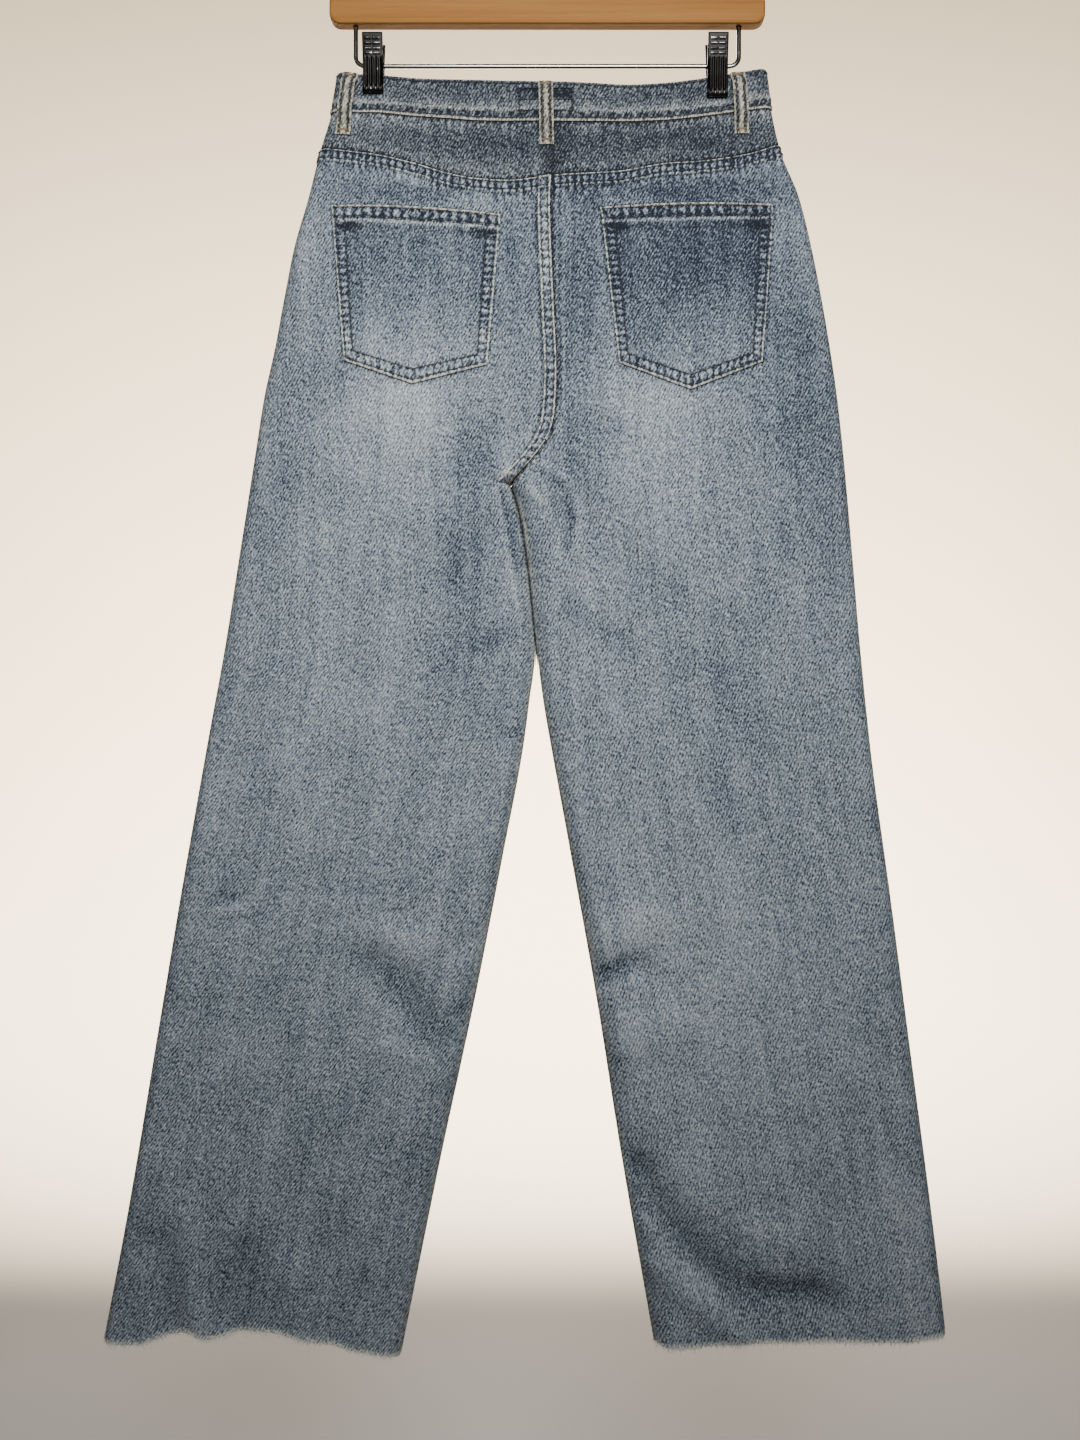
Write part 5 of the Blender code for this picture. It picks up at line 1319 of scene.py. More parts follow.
def fly_runs():
    """The J-shaped rows that hold the fly facing, and the rows of the front's middle seam."""
    runs = []
    start, bend, end = FLY_STITCHES
    sweep = np.linspace(0, math.pi / 2, 40)
    for offset in FLY_ROWS:
        straight = np.linspace(start, bend, 60)
        x = middle_x(FRONT, straight) - offset
        bend_drop = bend + (offset - 4) * 0.95 * np.sin(sweep)
        bend_x = middle_x(FRONT, 170.0) - 4 - (offset - 4) * np.cos(sweep)
        x = np.concatenate([x, bend_x[1:]])
        drop = np.concatenate([straight, bend_drop[1:]])
        runs.append(on_cloth(FRONT, LEFT, x, drop, STITCH_LIFT))
    drop = np.linspace(start, end, 70)
    x = panel_inner_x(FRONT, LEFT, drop) - 2.2
    runs.append(on_cloth(FRONT, LEFT, x, drop, FLY_RISE + STITCH_LIFT))
    drop = np.linspace(*FRONT_SEAM_STITCHES, 80)
    for offset in SEAT_STITCHES:
        runs.append(on_cloth(FRONT, LEFT, inner_x(FRONT, LEFT, drop) - offset, drop, STITCH_LIFT))
    return runs


def scoop_runs(side):
    runs = []
    for offset in SCOOP_STITCHES:
        swing = np.linspace(0.06, math.pi / 2 - 0.06, 90)
        drop = np.full(90, 90.0)
        for _ in range(SETTLING_ROUNDS):
            edge = side_x(side, drop)
            half_width = np.abs(edge - SCOOP_X[side]) + offset
            x = edge - side * half_width * np.cos(swing)
            drop = front_seam(x) + (SCOOP_DEPTH + offset) * np.sin(swing)
        runs.append(on_cloth(FRONT, side, x, drop, STITCH_LIFT))
    return runs


# ---------------------------------------------------------------- frayed hems

FRAY = table(
    "count radius short long lean",
    (560, 0.3, 1.4, 3.0, 0.5), (260, 0.2, 2.2, 6.0, 2.0), (26, 0.17, 6.0, 13.0, 5.0))
LONG_YARNS = 9


def strands(lines, radii):
    """Thin square threads with pointed ends through rows of points."""
    sides = 4
    vertices = []
    quads = []
    base = 0
    for line, radius in zip(lines, radii):
        count = len(line)
        ahead = unit(np.gradient(line, axis=0))
        across = unit(np.cross(ahead, np.array([0.3, 1.0, 0.2])))
        out = np.cross(across, ahead)
        taper = np.linspace(1.0, 0.55, count)[:, None] * radius
        for angle in math.tau * np.arange(sides) / sides:
            vertices.append(line + (across * math.cos(angle) + out * math.sin(angle)) * taper)
        index = base + np.arange(sides * count).reshape(sides, count)
        after = np.roll(index, -1, axis=0)
        quads.append(np.stack([index[:, :-1], index[:, 1:], after[:, 1:], after[:, :-1]],
                              axis=-1).reshape(-1, 4))
        quads.append([index[:, 0], index[::-1, -1]])
        base += sides * count
    return np.concatenate(vertices), np.concatenate(quads)


def hem_ring(side, back_cells, front_cells):
    back = cloth_points(BACK, side, back_cells[0][-1], back_cells[1][-1])
    front = cloth_points(FRONT, side, front_cells[0][-1], front_cells[1][-1])
    points = np.concatenate([back, front[::-1]])
    ahead = np.roll(points, -1, axis=0) - np.roll(points, 1, axis=0)
    outward = np.stack([ahead[:, 1], -ahead[:, 0], np.zeros(len(ahead))], axis=-1) * side
    return points, unit(outward)


def hem_fray(side, back_cells, front_cells, surface):
    rng = np.random.default_rng(17 + side)
    points, outward = hem_ring(side, back_cells, front_cells)
    points = points - outward * CLOTH / 2
    closed = np.vstack([points, points[:1]])
    outward = np.vstack([outward, outward[:1]])
    along = lengths_along(closed)
    whole = along[-1]

    def at(place):
        place = np.mod(place, whole)
        return read_line(place, along, closed), read_line(place, along, outward)

    lines = []
    radii = []
    for row in FRAY:
        for k in range(row.count):
            point, out = at(np.array((k + rng.uniform(-0.5, 0.5)) * whole / row.count))
            length = row.short + (row.long - row.short) * rng.uniform(0, 1) ** 2
            t = np.linspace(0, 1, 6)[:, None]
            lean = np.array([rng.uniform(-1, 1), rng.uniform(-0.5, 0.5), 0]) * row.lean
            curl = np.array([rng.uniform(-1, 1), rng.uniform(-0.4, 0.4), 0]) * row.lean * 0.4
            lines.append(point + out * rng.uniform(-0.5, 0.5) + np.array([0, 0, 1.2])
                         + t * np.array([0, 0, -length - 1.2]) + t ** 1.6 * lean
                         + np.sin(t * math.pi * 1.6) * curl)
            radii.append(row.radius * rng.uniform(0.8, 1.15))
    for _ in range(LONG_YARNS):
        start = rng.uniform(0, whole)
        length = rng.uniform(14, 46)
        t = np.linspace(0, 1, 26)
        point, out = at(start + t * length)
        sag = np.zeros((26, 3))
        sag[:, 2] = -1.6 - rng.uniform(0.5, 3.0) * np.sin(t * math.pi * rng.integers(1, 3)) ** 2
        lines.append(point + out * 0.4 + sag)
        radii.append(0.22)
    vertices, quads = strands(lines, radii)
    mesh = mesh_from_quads("jeans_hem_fray", vertices, quads, {}, 80)
    node = "hem_fray_" + SIDE_NAMES[side]
    return new_object("jeans_" + node, mesh, surface, node)


INSEAM_END = 486.0
# The right bead's near-black tone is painted shade of the hollow under the right leg's edge; the
# left bead is the pale edge of the seam.
INSEAM_BEADS = table("side depth radius tone",
                     (LEFT, 0.4, 0.62, 0.68), (RIGHT, -0.4, 0.7, 0.05))


def inseam_bead(row, surface):
    """The rolled edge of an inseam, seen where the legs meet below the crotch."""
    rings = 90
    sides = 10
    drop = np.linspace(CROTCH_DROP + 0.5, INSEAM_END, rings)
    x = follow(INNER_EDGES, SIDE_NAMES[row.side], drop) - row.side * 0.5
    angle = np.linspace(0, math.tau, sides, endpoint=False)[None, :]
    thick = (row.radius * np.sqrt(np.clip((INSEAM_END - drop) / 14, 0.02, 1))
             * (1 + 0.12 * soft_noise(drop / 5, drop * 0, 51)))[:, None]
    outer = np.stack([x[:, None] + thick * np.cos(angle),
                      row.depth + thick * 1.8 * np.sin(angle),
                      WAIST_HEIGHT - drop[:, None] + 0 * angle], axis=-1)
    index, quads = ring_quads(rings, sides)
    caps = [[end[k], end[k + 1], end[sides - 2 - k], end[sides - 1 - k]]
            for end in (index[0][::-1], index[-1]) for k in range(sides // 2 - 1)]
    vertices = outer.reshape(-1, 3)
    zero = np.zeros(len(vertices))
    values = {"tone": zero + row.tone,
              "cloth": np.stack([vertices[:, 0], -vertices[:, 2], zero], axis=-1)}
    mesh = mesh_from_quads("inseam", vertices, np.concatenate([quads, np.array(caps)]), values, 80)
    return new_object("jeans_inseam_edge_" + SIDE_NAMES[row.side], mesh, surface)


# ---------------------------------------------------------------- zip and button


def zip_tape(surface):
    top = float(band_edge(FRONT, 0, "seam")) + 12.6
    drops = np.linspace(top, ZIP_BOTTOM, 60)[:, None]
    offsets = np.array([-11.0, -8, -5, -4.3, -4.1, -3, -1.9, 0.4, 0.6, 3, 7, 11.0])[None, :]
    lifts = np.array([0, 0, 0, 0, 1.1, 1.2, 1.4, 1.2, 0.1, 0, 0, 0.0])[None, :] + ZIP_LIFT
    x = middle_x(FRONT, drops) + offsets
    drop = np.broadcast_to(drops, x.shape)
    teeth = (offsets > -4.2) & (offsets < 0.5)
    lift = lifts + 0.3 * teeth * np.sign(np.sin(drop / ZIP_TOOTH * math.tau))
    outer, _ = surface_frame(FRONT, RIGHT, x, drop, lift)
    under, _ = on_cloth(FRONT, RIGHT, x, drop, ZIP_LIFT - 1.3)
    return cloth_piece("zip", outer, under, (x, drop), {"tone": 0.2}, surface,
                       inside=0.0)


def waist_button(surface):
    """A domed metal button with a rolled rim and a plain sunk ring."""
    drop = float(band_edge(FRONT, BUTTON_X, "waist")) + BUTTON_BAND_DROP
    seat = float(half_depth(FRONT, RIGHT, BUTTON_X, drop)) + BAND_OUT + 0.65
    points, quads = turned(BUTTON_PROFILE, 48)
    vertices = points[:, [0, 2, 1]] + (BUTTON_X, seat, WAIST_HEIGHT - drop)
    mesh = mesh_from_quads("waist_button", vertices, quads, {}, 60)
    return new_object("jeans_waist_button", mesh, surface, "waist_button")


# ---------------------------------------------------------------- the hanger


def rounded(points, step, passes):
    """A polyline resampled a step apart and softened, with its ends kept."""
    points = np.array(points, float)
    along = lengths_along(points)
    line = read_line(np.linspace(0, along[-1], int(along[-1] / step) + 1), along, points)
    for _ in range(passes):
        line[1:-1] = (line[:-2] + 2 * line[1:-1] + line[2:]) / 4
    return line


# How far below a jaw's top its grip bars lie.
GRIP_ROWS = (4.3, 8.0, 11.6, 15.2)


def jaw(face, side, surface):
    """A pressed clip jaw: two columns of grip bars, thin flutes and four teeth."""
    rail_z = WAIST_HEIGHT - RAIL_DROP
    top_z = WAIST_HEIGHT - CLIP_TOP_DROP
    pad_z = WAIST_HEIGHT - CLIP_BAND_DROP[side] + 1
    low_z = WAIST_HEIGHT - CLIP_BOTTOM_DROP[side]
    barrel = BARREL_RADIUS + SEAM_GAP + JAW_PLATE
    outline = [(JAW_TOP_Y + JAW_PLATE, top_z), (barrel + 0.6, rail_z + 6), (barrel, rail_z),
               (JAW_BITE + JAW_PLATE + 0.3, pad_z), (JAW_BITE + JAW_PLATE, low_z + 2.6),
               (JAW_BITE + 2.2, low_z + 1.2), (JAW_BITE + 2.2, low_z)]
    line = rounded(outline, 0.8, 3)
    tangent = unit(np.gradient(line, axis=0))
    out = np.stack([-tangent[:, 1], tangent[:, 0]], axis=1)
    if out[len(out) // 2, 0] < 0:
        out = -out
    edges = [JAW_HALF_WIDTH - inset for inset in (0.5, 0.15, 0)]
    across = np.concatenate([[-edge for edge in edges[::-1]], np.linspace(-7.4, 7.4, 45), edges])
    across = across[None, :]
    y, z = line.T[:, :, None]
    out_y, out_z = out.T[:, :, None]
    flutes = np.cos(across / JAW_FLUTE * math.tau) * (np.abs(across) < 7.6)
    held = smooth(top_z - 17, top_z - 20, z) * smooth(low_z + 4, low_z + 8, z)
    teeth = 0.5 * smooth(0.3, 1, -flutes) * bell(z - low_z - 4.5, 1.3)
    columns = smooth(3.1, 2.5, np.abs(np.abs(across) - 3.3))
    grips = 0.5 * columns * sum(bell(z - top_z + row, 0.65) for row in GRIP_ROWS)
    lift = 0.42 * flutes * held - 0.7 * bell(JAW_HALF_WIDTH - np.abs(across), 0.5)
    lift = lift + teeth + grips - 0.5 * bell(z - top_z, 0.6)
    x = CLIP_X[side] + across + 0 * lift
    outer = np.stack([x, face * (y + out_y * lift), z + out_z * lift], axis=-1)
    inner_y = np.maximum(y - out_y * JAW_PLATE + 0 * lift, JAW_BITE)
    inner_z = np.maximum(z - out_z * JAW_PLATE + 0 * lift, low_z)
    inner = np.stack([x, face * inner_y, inner_z], axis=-1)
    # Painted highlights on the flute ridges, grip bars, teeth and bottom edge, passed to the metal
    # as its 'worn' value.
    painted_highlight = 0.12 * smooth(0.5, 1, flutes) * held + 2 * teeth + 2 * grips + 0.5 * bell(z - low_z, 1)
    painted_highlight = np.clip(painted_highlight, 0, 1)
    place = "back" if face == BACK else "front"
    node = "clip_" + SIDE_NAMES[side] + "_" + place + "_jaw"
    return shell(node + "_fluted", outer, inner, {"worn": (painted_highlight, painted_highlight)}, surface,
                 node)


def hook_points():
    centre_z = WIRE_RADIUS - HOOK_RADIUS
    low = WOOD_BOTTOM + WOOD_MID_HEIGHT - HOOK_DEPTH_IN_WOOD + SEAM_GAP
    start = math.asin((WIRE_RADIUS - HOOK_RADIUS) / (HOOK_RADIUS + 8))

    def on_hook(angle):
        return HOOK_RADIUS * math.cos(angle), centre_z + HOOK_RADIUS * math.sin(angle)

    meet_x, bend_z = on_hook(start)
    line = [(0.0, low)]
    for share in np.linspace(0, 1, 7):
        line.append((meet_x * share ** 2, mix(bend_z - 14, bend_z, share)))
    angle = math.degrees(start) + 14
    while angle < HOOK_END_ANGLE:
        line.append(on_hook(math.radians(angle)))
        angle += 15
    return rounded(line, 1.2, 6)


def rail_points():
    high = WOOD_BOTTOM + RAIL_DEPTH_IN_WOOD - SEAM_GAP
    level = WAIST_HEIGHT - RAIL_DROP
    right = [(RAIL_HALF_SPAN, high), (RAIL_HALF_SPAN, WOOD_BOTTOM - 6)]
    for angle in np.linspace(0, -math.pi / 2, 19):
        right.append((RAIL_HALF_SPAN - RAIL_BEND + RAIL_BEND * math.cos(angle),
                      level + RAIL_BEND + RAIL_BEND * math.sin(angle)))
    return right + [(-x, z) for x, z in reversed(right)]


# ---------------------------------------------------------------- materials


def new_material(name):
    made = bpy.data.materials.new(name)
    made.use_nodes = True
    tree = made.node_tree
    return made, tree, tree.nodes["Principled BSDF"]


def set_inputs(tree, node, inputs):
    """Set a node's inputs: sockets are linked, values are set directly."""
    for key, value in inputs.items():
        if isinstance(value, bpy.types.NodeSocket):
            tree.links.new(value, node.inputs[key])
        else:
            node.inputs[key].default_value = value


def add_node(tree, kind, inputs, **settings):
    node = tree.nodes.new(kind)
    for key, value in settings.items():
        setattr(node, key, value)
    set_inputs(tree, node, inputs)
    return node


def maths(tree, operation, first, second=0.0, third=0.0):
    return add_node(tree, "ShaderNodeMath", {0: first, 1: second, 2: third},
                    operation=operation).outputs[0]


def scaled(tree, vector, by):
    return add_node(tree, "ShaderNodeVectorMath", {0: vector, 1: by},
                    operation="MULTIPLY").outputs[0]


def dot(tree, vector, other):
    return add_node(tree, "ShaderNodeVectorMath", {0: vector, 1: other},
                    operation="DOT_PRODUCT").outputs["Value"]


def bump(tree, height, strength, distance):
    return add_node(tree, "ShaderNodeBump", {"Height": height, "Strength": strength,
                                             "Distance": distance}).outputs["Normal"]


def attribute(tree, name, output="Fac"):
    return add_node(tree, "ShaderNodeAttribute", {}, attribute_name=name).outputs[output]


def noise(tree, vector, scale, detail=2.0, rough=0.5):
    """Noise that is centred on 0 and reaches about 1 either way."""
    made = add_node(tree, "ShaderNodeTexNoise",
                    {"Vector": vector, "Scale": scale, "Detail": detail, "Roughness": rough})
    return maths(tree, "MULTIPLY", maths(tree, "SUBTRACT", made.outputs[0], 0.5), 3.0)


def stretched(tree, vector, by, detail, rough):
    """Noise with its own scale along each axis."""
    return noise(tree, scaled(tree, vector, (*by, 1) if len(by) == 2 else by), 1.0, detail, rough)


def ramp(tree, value, stops):
    made = add_node(tree, "ShaderNodeValToRGB", {"Fac": value})
    elements = made.color_ramp.elements
    while len(elements) < len(stops):
        elements.new(0.5)
    for element, (position, colour) in zip(elements, stops):
        element.position = position
        element.color = (*colour, 1)
    return made.outputs["Color"]


def object_mm(tree):
    coordinates = tree.nodes.new("ShaderNodeTexCoord").outputs["Object"]
    return scaled(tree, coordinates, (1000, 1000, 1000))


def weighted(tree, parts):
    """The sum of (socket, weight) pairs."""
    total = 0.0
    for socket, weight in parts:
        total = maths(tree, "MULTIPLY_ADD", socket, weight, total)
    return total


# From deep indigo to bare pale yarn, as linear colours.
INDIGO = [
    (0.0, (0.012, 0.016, 0.028)),
    (0.15, (0.042, 0.054, 0.076)),
    (0.30, (0.100, 0.124, 0.155)),
    (0.45, (0.188, 0.224, 0.260)),
    (0.60, (0.290, 0.332, 0.362)),
    (0.75, (0.410, 0.446, 0.458)),
    (0.90, (0.560, 0.576, 0.558)),
    (1.0, (0.700, 0.695, 0.650)),
]
HONEY = [(0.0, (0.17, 0.060, 0.010)), (0.45, (0.30, 0.124, 0.024)), (1.0, (0.41, 0.19, 0.052))]
# The values of a cloth mesh that are shares from 0 to 1; its tone and phase are not.
SHARES = ("pucker", "hang", "worn", "dark")


def denim_material(name, shift=0.0, warm=0.3):
    """Washed denim: a diagonal weave, slubs, flecks, streaks, puckers and worn edges."""
    made, tree, shader = new_material(name)
    cloth = attribute(tree, "cloth", "Vector")
    leaning = add_node(tree, "ShaderNodeVectorRotate", {"Vector": cloth, "Angle": -0.42},
                       rotation_type="Z_AXIS").outputs[0]
    fleck = stretched(tree, leaning, (0.80, 0.42), 2.0, 0.65)
    grit = stretched(tree, leaning, (0.46, 0.34), 1.0, 0.6)
    slub = stretched(tree, cloth, (0.62, 0.14), 2.0, 0.6)
    weft = stretched(tree, cloth, (0.12, 0.6), 1.0, 0.5)
    streak = stretched(tree, cloth, (0.13, 0.011), 2.0, 0.5)
    hanging = stretched(tree, cloth, (0.3, 0.07), 1.0, 0.5)
    cloud = noise(tree, cloth, 0.022, 3.0, 0.6)
    blotch = noise(tree, cloth, 0.085, 2.0, 0.55)
    blob = noise(tree, cloth, 0.24, 0.5, 0.5)
    twill = maths(tree, "SINE", weighted(tree, [(dot(tree, cloth, (2.28, 1.31, 0)), 1.0),
                                                (blob, 1.2)]))
    rung = maths(tree, "SINE", weighted(tree, [(attribute(tree, "phase"), math.tau),
                                               (blob, 2.2)]))
    ladder = weighted(tree, [(rung, 0.30), (blob, 0.22)])
    ladder = maths(tree, "MULTIPLY", ladder, attribute(tree, "pucker"))
    hanging = maths(tree, "MAXIMUM", maths(tree, "ADD", hanging, 0.1), 0.0)
    worn = attribute(tree, "worn")
    dark = attribute(tree, "dark")
    # Painted shadow round the back pockets, from 'beside'.
    beside = maths(tree, "POWER", maths(tree, "MAXIMUM", attribute(tree, "beside"), 0.0), 1.6)
    # 'dark' darkens unfaded indigo at stitch rows, roping and the centre-back rectangle, and paints
    # shade beside lapped edges and in recesses.
    total = weighted(tree, [
        (attribute(tree, "tone"), 1.0), (fleck, 0.52), (grit, 0.20), (slub, 0.20), (weft, 0.07),
        (streak, 0.09), (cloud, 0.08), (blotch, 0.05), (twill, 0.12), (ladder, 1.0),
        (maths(tree, "MULTIPLY", hanging, attribute(tree, "hang")), 0.34),
        (maths(tree, "MULTIPLY", dark, maths(tree, "ADD", blob, 1.8)), -0.20),
        (maths(tree, "MULTIPLY", worn, maths(tree, "ADD", fleck, 1.8)), 0.30),
        (beside, -0.3)])
    total = maths(tree, "ADD", total, shift)
    stops = [(at, (red, green * (1 - 0.07 * warm), blue * (1 - 0.16 * warm)))
             for at, (red, green, blue) in INDIGO]
    mixed = add_node(tree, "ShaderNodeMix", {
        0: attribute(tree, "inside"), 6: ramp(tree, total, stops),
        7: ramp(tree, maths(tree, "ADD", total, 0.24), stops)}, data_type="RGBA")
    warmed = add_node(tree, "ShaderNodeMix", {
        0: maths(tree, "MAXIMUM", worn, dark), 6: mixed.outputs[2],
        7: (1.0, 0.94, 0.82, 1)}, data_type="RGBA", blend_type="MULTIPLY")
    height = weighted(tree, [(slub, 0.5), (fleck, 0.5), (twill, 0.3), (ladder, 7.0)])
    set_inputs(tree, shader, {
        "Base Color": warmed.outputs[2], "Roughness": maths(tree, "MULTIPLY_ADD", fleck, 0.05, 0.88),
        "Sheen Weight": 0.04, "Sheen Roughness": 0.5, "Specular IOR Level": 0.12,
        "Normal": bump(tree, height, 0.7, 0.0004)})
    return made


def thread_material(name, dark, light):
    """Twisted sewing thread that varies a little from stitch to stitch."""
    made, tree, shader = new_material(name)
    place = object_mm(tree)
    twist = maths(tree, "SINE", dot(tree, place, (9, 6, 9)))
    value = weighted(tree, [(noise(tree, place, 0.35, 1.0), 0.35), (twist, 0.12)])
    colour = ramp(tree, maths(tree, "ADD", value, 0.5), [(0.0, dark), (1.0, light)])
    set_inputs(tree, shader, {"Base Color": colour, "Roughness": 0.7, "Sheen Weight": 0.1,
                              "Normal": bump(tree, twist, 0.5, 0.0001)})
    return made


def wood_material():
    """Satin honey-brown wood with fine straight grain along the bar."""
    made, tree, shader = new_material("honey_wood")
    place = object_mm(tree)
    fine = stretched(tree, place, (0.012, 0.9, 1.5), 3.0, 0.6)
    broad = stretched(tree, place, (0.004, 0.12, 0.16), 2.0, 0.5)
    pore = stretched(tree, place, (0.06, 2.2, 2.2), 1.0, 0.5)
    value = weighted(tree, [(fine, 0.2), (broad, 0.28), (pore, 0.12)])
    value = maths(tree, "ADD", value, 0.5)
    set_inputs(tree, shader, {
        "Base Color": ramp(tree, value, HONEY), "Specular IOR Level": 0.12,
        "Roughness": maths(tree, "MULTIPLY_ADD", fine, 0.08, 0.5),
        "Normal": bump(tree, value, 0.25, 0.0003)})
    return made


def metal_material(name, dark, light, roughness, spread, shine=None):
    """Plated metal with faint smears and fine scratches, and painted highlights where it shines."""
    made, tree, shader = new_material(name)
    place = object_mm(tree)
    smear = noise(tree, place, 0.12, 3.0, 0.6)
    scratch = stretched(tree, place, (3.0, 3.0, 0.25), 2.0, 0.6)
    value = weighted(tree, [(smear, 0.3), (scratch, 0.1)])
    value = maths(tree, "ADD", value, 0.5)
    stops = [(0.0, dark), (1.0, light)]
    # The 'worn' value on the clip jaws marks painted highlights, lifted towards a pale top stop.
    if shine is not None:
        value = maths(tree, "ADD", value, maths(tree, "MULTIPLY", attribute(tree, "worn"), shine))
        stops = [(0.0, dark), (0.72, light), (1.0, (0.65, 0.65, 0.64))]
    set_inputs(tree, shader, {
        "Base Color": ramp(tree, value, stops), "Metallic": 1.0,
        "Roughness": maths(tree, "MULTIPLY_ADD", smear, spread, roughness),
        "Normal": bump(tree, scratch, 0.08, 0.0001)})
    return made


# ---------------------------------------------------------------- stage, light and camera

FLOOR_HEIGHT = -1.52
BOWL_RADIUS = 3.6
BOWL_TURN = 2.4
BOWL_TOP = 2.6
# The paper's colour from front to back: painted shade, darker on the floor and towards the front,
# paler on the far wall.
SHADED_PAPER = [(0.0, (0.40, 0.36, 0.31)), (0.58, (0.48, 0.45, 0.41)), (1.0, (0.80, 0.70, 0.57))]
CAMERA_LENS = 30.49
CAMERA_PLACE = (-0.006, -1.0, -0.6725)


def stage():
    """A pale floor that turns up softly into a round wall, painted darker towards the front as
    shade.
    """
    flat = BOWL_RADIUS - BOWL_TURN
    profile = [(share * flat, FLOOR_HEIGHT) for share in (0.001 / flat, 0.4, 0.8)]
    for angle in np.linspace(0, math.pi / 2, 15):
        profile.append((flat + BOWL_TURN * math.sin(angle),
                        FLOOR_HEIGHT + BOWL_TURN * (1 - math.cos(angle))))
    profile.append((BOWL_RADIUS, BOWL_TOP))
    vertices, quads = turned(profile, 96)
    mesh = bpy.data.meshes.new("studio_floor")
    mesh.from_pydata(vertices.tolist(), [], quads.tolist())
    mesh.shade_smooth()
    made, tree, shader = new_material("studio_paper")
    place = tree.nodes.new("ShaderNodeTexCoord").outputs["Object"]
    # Painted shade: the colour darkens towards -Y.
    value = weighted(tree, [(dot(tree, place, (0, 0.16, 0)), 1.0),
                            (noise(tree, place, 1.3, 2.0), 0.03)])
    set_inputs(tree, shader, {"Base Color": ramp(tree, maths(tree, "ADD", value, 0.5), SHADED_PAPER),
                              "Roughness": 0.95, "Specular IOR Level": 0.1})
    mesh.materials.append(made)
    floor = bpy.data.objects.new("studio_floor", mesh)
    bpy.context.scene.collection.objects.link(floor)
    floor.visible_diffuse = False


LAMPS = table(
    "name place target size spread power colour",
    ("key_light", (0.1, -1.3, 0.05), (-0.03, 0, -0.42), (0.8, 0.8), 82, 7.9,
     (0.97, 0.985, 1.0)),
    ("wall_light_behind", (0.0, 0.45, -0.5), (0.0, 3.6, -0.5), (3.0, 0.6), 140, 450,
     (1.0, 0.885, 0.70)),
    ("floor_light", (0.3, 0.9, 0.2), (0.3, 1.6, -1.5), (2.6, 1.0), 120, 17,
     (1.0, 0.90, 0.76)),
    ("wall_light_before", (0, -1.9, 0.6), (0, -3.4, 0.4), (2.4, 0.6), 170, 25,
     (1.0, 0.96, 0.9)),
    ("front_light", (-0.3, 1.5, 0.4), (0, 0, -0.5), (0.9, 0.9), 110, 13,
     (0.97, 0.985, 1.0)))
WORLD_COLOUR = (0.94, 0.97, 1.0, 1)
WORLD_STRENGTH = 0.065


def lights():
    for row in LAMPS:
        data = bpy.data.lights.new(row.name, "AREA")
        data.shape = "ELLIPSE"
        data.size = row.size[0]
        data.size_y = row.size[1]
        data.spread = math.radians(row.spread)
        data.energy = row.power
        data.color = row.colour
        lamp = bpy.data.objects.new(row.name, data)
        lamp.location = row.place
        aim = Vector(row.target) - Vector(row.place)
        lamp.rotation_euler = aim.to_track_quat("-Z", "Y").to_euler()
        lamp.visible_camera = False
        bpy.context.scene.collection.objects.link(lamp)
    world = bpy.data.worlds.new("studio_air")
    world.use_nodes = True
    background = world.node_tree.nodes["Background"]
    background.inputs["Color"].default_value = WORLD_COLOUR
    background.inputs["Strength"].default_value = WORLD_STRENGTH
    bpy.context.scene.world = world


def camera():
    data = bpy.data.cameras.new("camera")
    data.sensor_fit = "VERTICAL"
    data.sensor_height = 36.0
    data.lens = CAMERA_LENS
    data.clip_start = 0.05
    made = bpy.data.objects.new("camera", data)
    made.location = CAMERA_PLACE
    made.rotation_euler = (math.radians(90), 0, 0)
    bpy.context.scene.collection.objects.link(made)
    bpy.context.scene.camera = made


# ---------------------------------------------------------------- build


def dress_node(name, surface):
    """Give a CAD node that stays its own finished material."""
    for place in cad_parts[name].material_slots:
        place.material = surface


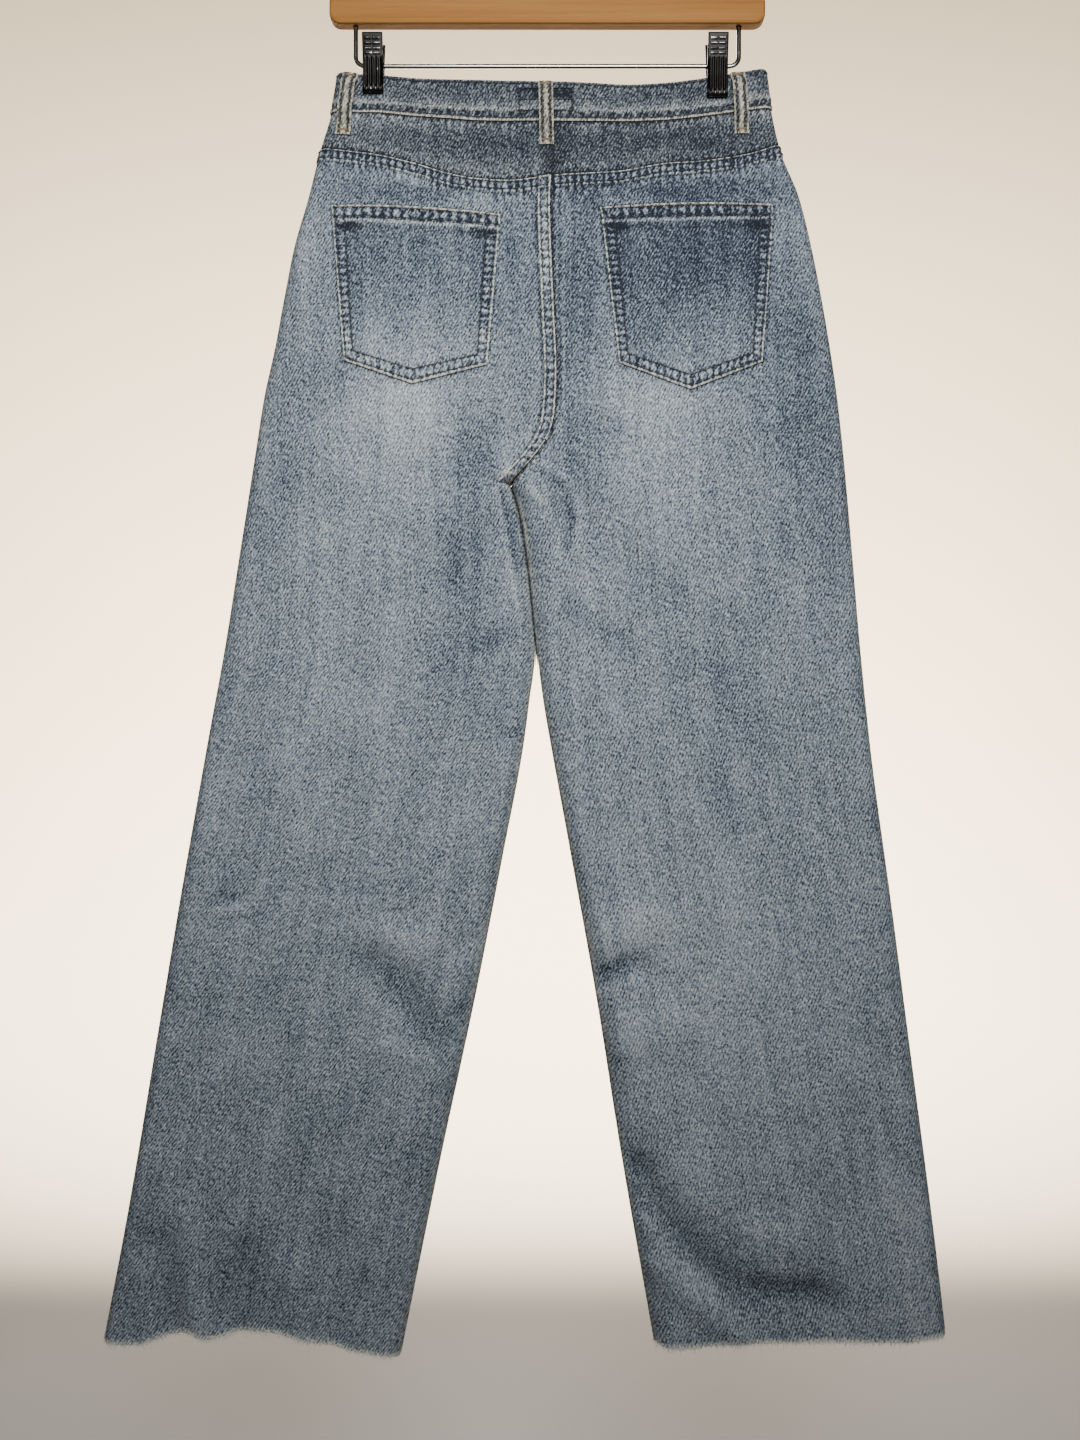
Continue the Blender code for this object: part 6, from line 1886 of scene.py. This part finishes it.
def main():
    denim = denim_material("washed_denim")
    waist_denim = denim_material("waist_denim", 0.0, warm=1.1)
    loop_denim = denim_material("loop_denim", -0.12, warm=1.9)
    zip_cloth = denim_material("zip_cloth", -0.1)
    thread = thread_material("grey_thread", (0.014, 0.016, 0.021), (0.06, 0.066, 0.075))
    tan = thread_material("tan_thread", (0.14, 0.09, 0.045), (0.40, 0.29, 0.16))
    brown = thread_material("brown_thread", (0.03, 0.024, 0.018), (0.11, 0.085, 0.055))
    fray = thread_material("loose_yarn", (0.42, 0.43, 0.41), (0.80, 0.79, 0.74))
    chrome = metal_material("bright_chrome", (0.20, 0.19, 0.18), (0.42, 0.42, 0.41), 0.12, 0.03)
    steel = metal_material("dark_plating", (0.006, 0.006, 0.006), (0.016, 0.015, 0.014), 0.36,
                           0.06, shine=0.3)
    brass = metal_material("aged_brass_plating", (0.16, 0.11, 0.06), (0.46, 0.34, 0.19), 0.38, 0.1)

    sheets = []
    for side in (LEFT, RIGHT):
        name = SIDE_NAMES[side]
        back, back_cells = back_panel(side, denim)
        front, front_cells = front_panel(side, denim)
        yarns = hem_fray(side, back_cells, front_cells, fray)
        sheets += [
            (back, (0.285, 0.985), 0.212, ["jeans_yoke_" + name], [yarns]),
            (front, (0.285, 1.01), 0.212, ["jeans_waistband"], []),
            (yoke(side, waist_denim), (0.195, 0.062), 0.0086, ["jeans_waistband"], []),
            (back_pocket(side, denim), (0.142, 0.150), 0.019, ["jeans_back_" + name], []),
            (pocket_facing(side, denim), (0.115, 0.095), None, ["jeans_front_" + name], [])]
        for face in (BACK, FRONT):
            jaw(face, side, steel)
        dress_node("clip_" + name + "_barrel", steel)
    for row in INSEAM_BEADS:
        inseam_bead(row, denim)
    sheets.append((waistband(waist_denim), (0.76, 0.034), None,
                   ["clip_left_back_jaw_fluted", "clip_right_back_jaw_fluted"], []))
    for loop in BELT_LOOPS:
        sheets.append((belt_loop(loop, loop_denim), (LOOP_WIDTH * METRES, 0.056), None,
                       ["jeans_waistband"], []))
    sheets.append((zip_tape(zip_cloth), (0.022, 0.108), None, ["jeans_front_right"], []))
    waist_button(brass)
    dress_node("zip_slider", brass)

    back_thread = seat_runs() + yoke_runs() + pocket_runs(LEFT) + pocket_runs(RIGHT)
    thread_mesh("stitches_back", back_thread + pocket_hem_runs(9.4), thread)
    thread_mesh("stitches_waistband", band_runs() + patch_runs(), thread)
    front_thread = fly_runs() + scoop_runs(LEFT) + scoop_runs(RIGHT)
    thread_mesh("stitches_front", front_thread, thread)
    loop_thread = [run for loop in BELT_LOOPS for run in loop_runs(loop)]
    thread_mesh("stitches_loops", loop_thread, brown, radius=0.3)
    tacks = [run for loop in BELT_LOOPS for run in tack_runs(loop)]
    thread_mesh("bar_tacks", tacks, tan, stitch=8.4, gap=0.3, radius=0.22)
    thread_mesh("stitches_pocket_hems", pocket_hem_runs(1.9), tan)

    dress_node("hanger_wood", wood_material())
    tube("hanger_hook_wire", hook_points(), WIRE_RADIUS, chrome, "hanger_hook")
    tube("hanger_rail_wire", rail_points(), WIRE_RADIUS - 0.05, chrome, "hanger_rail")


stage()
lights()
camera()
main()
bpy.context.view_layer.update()
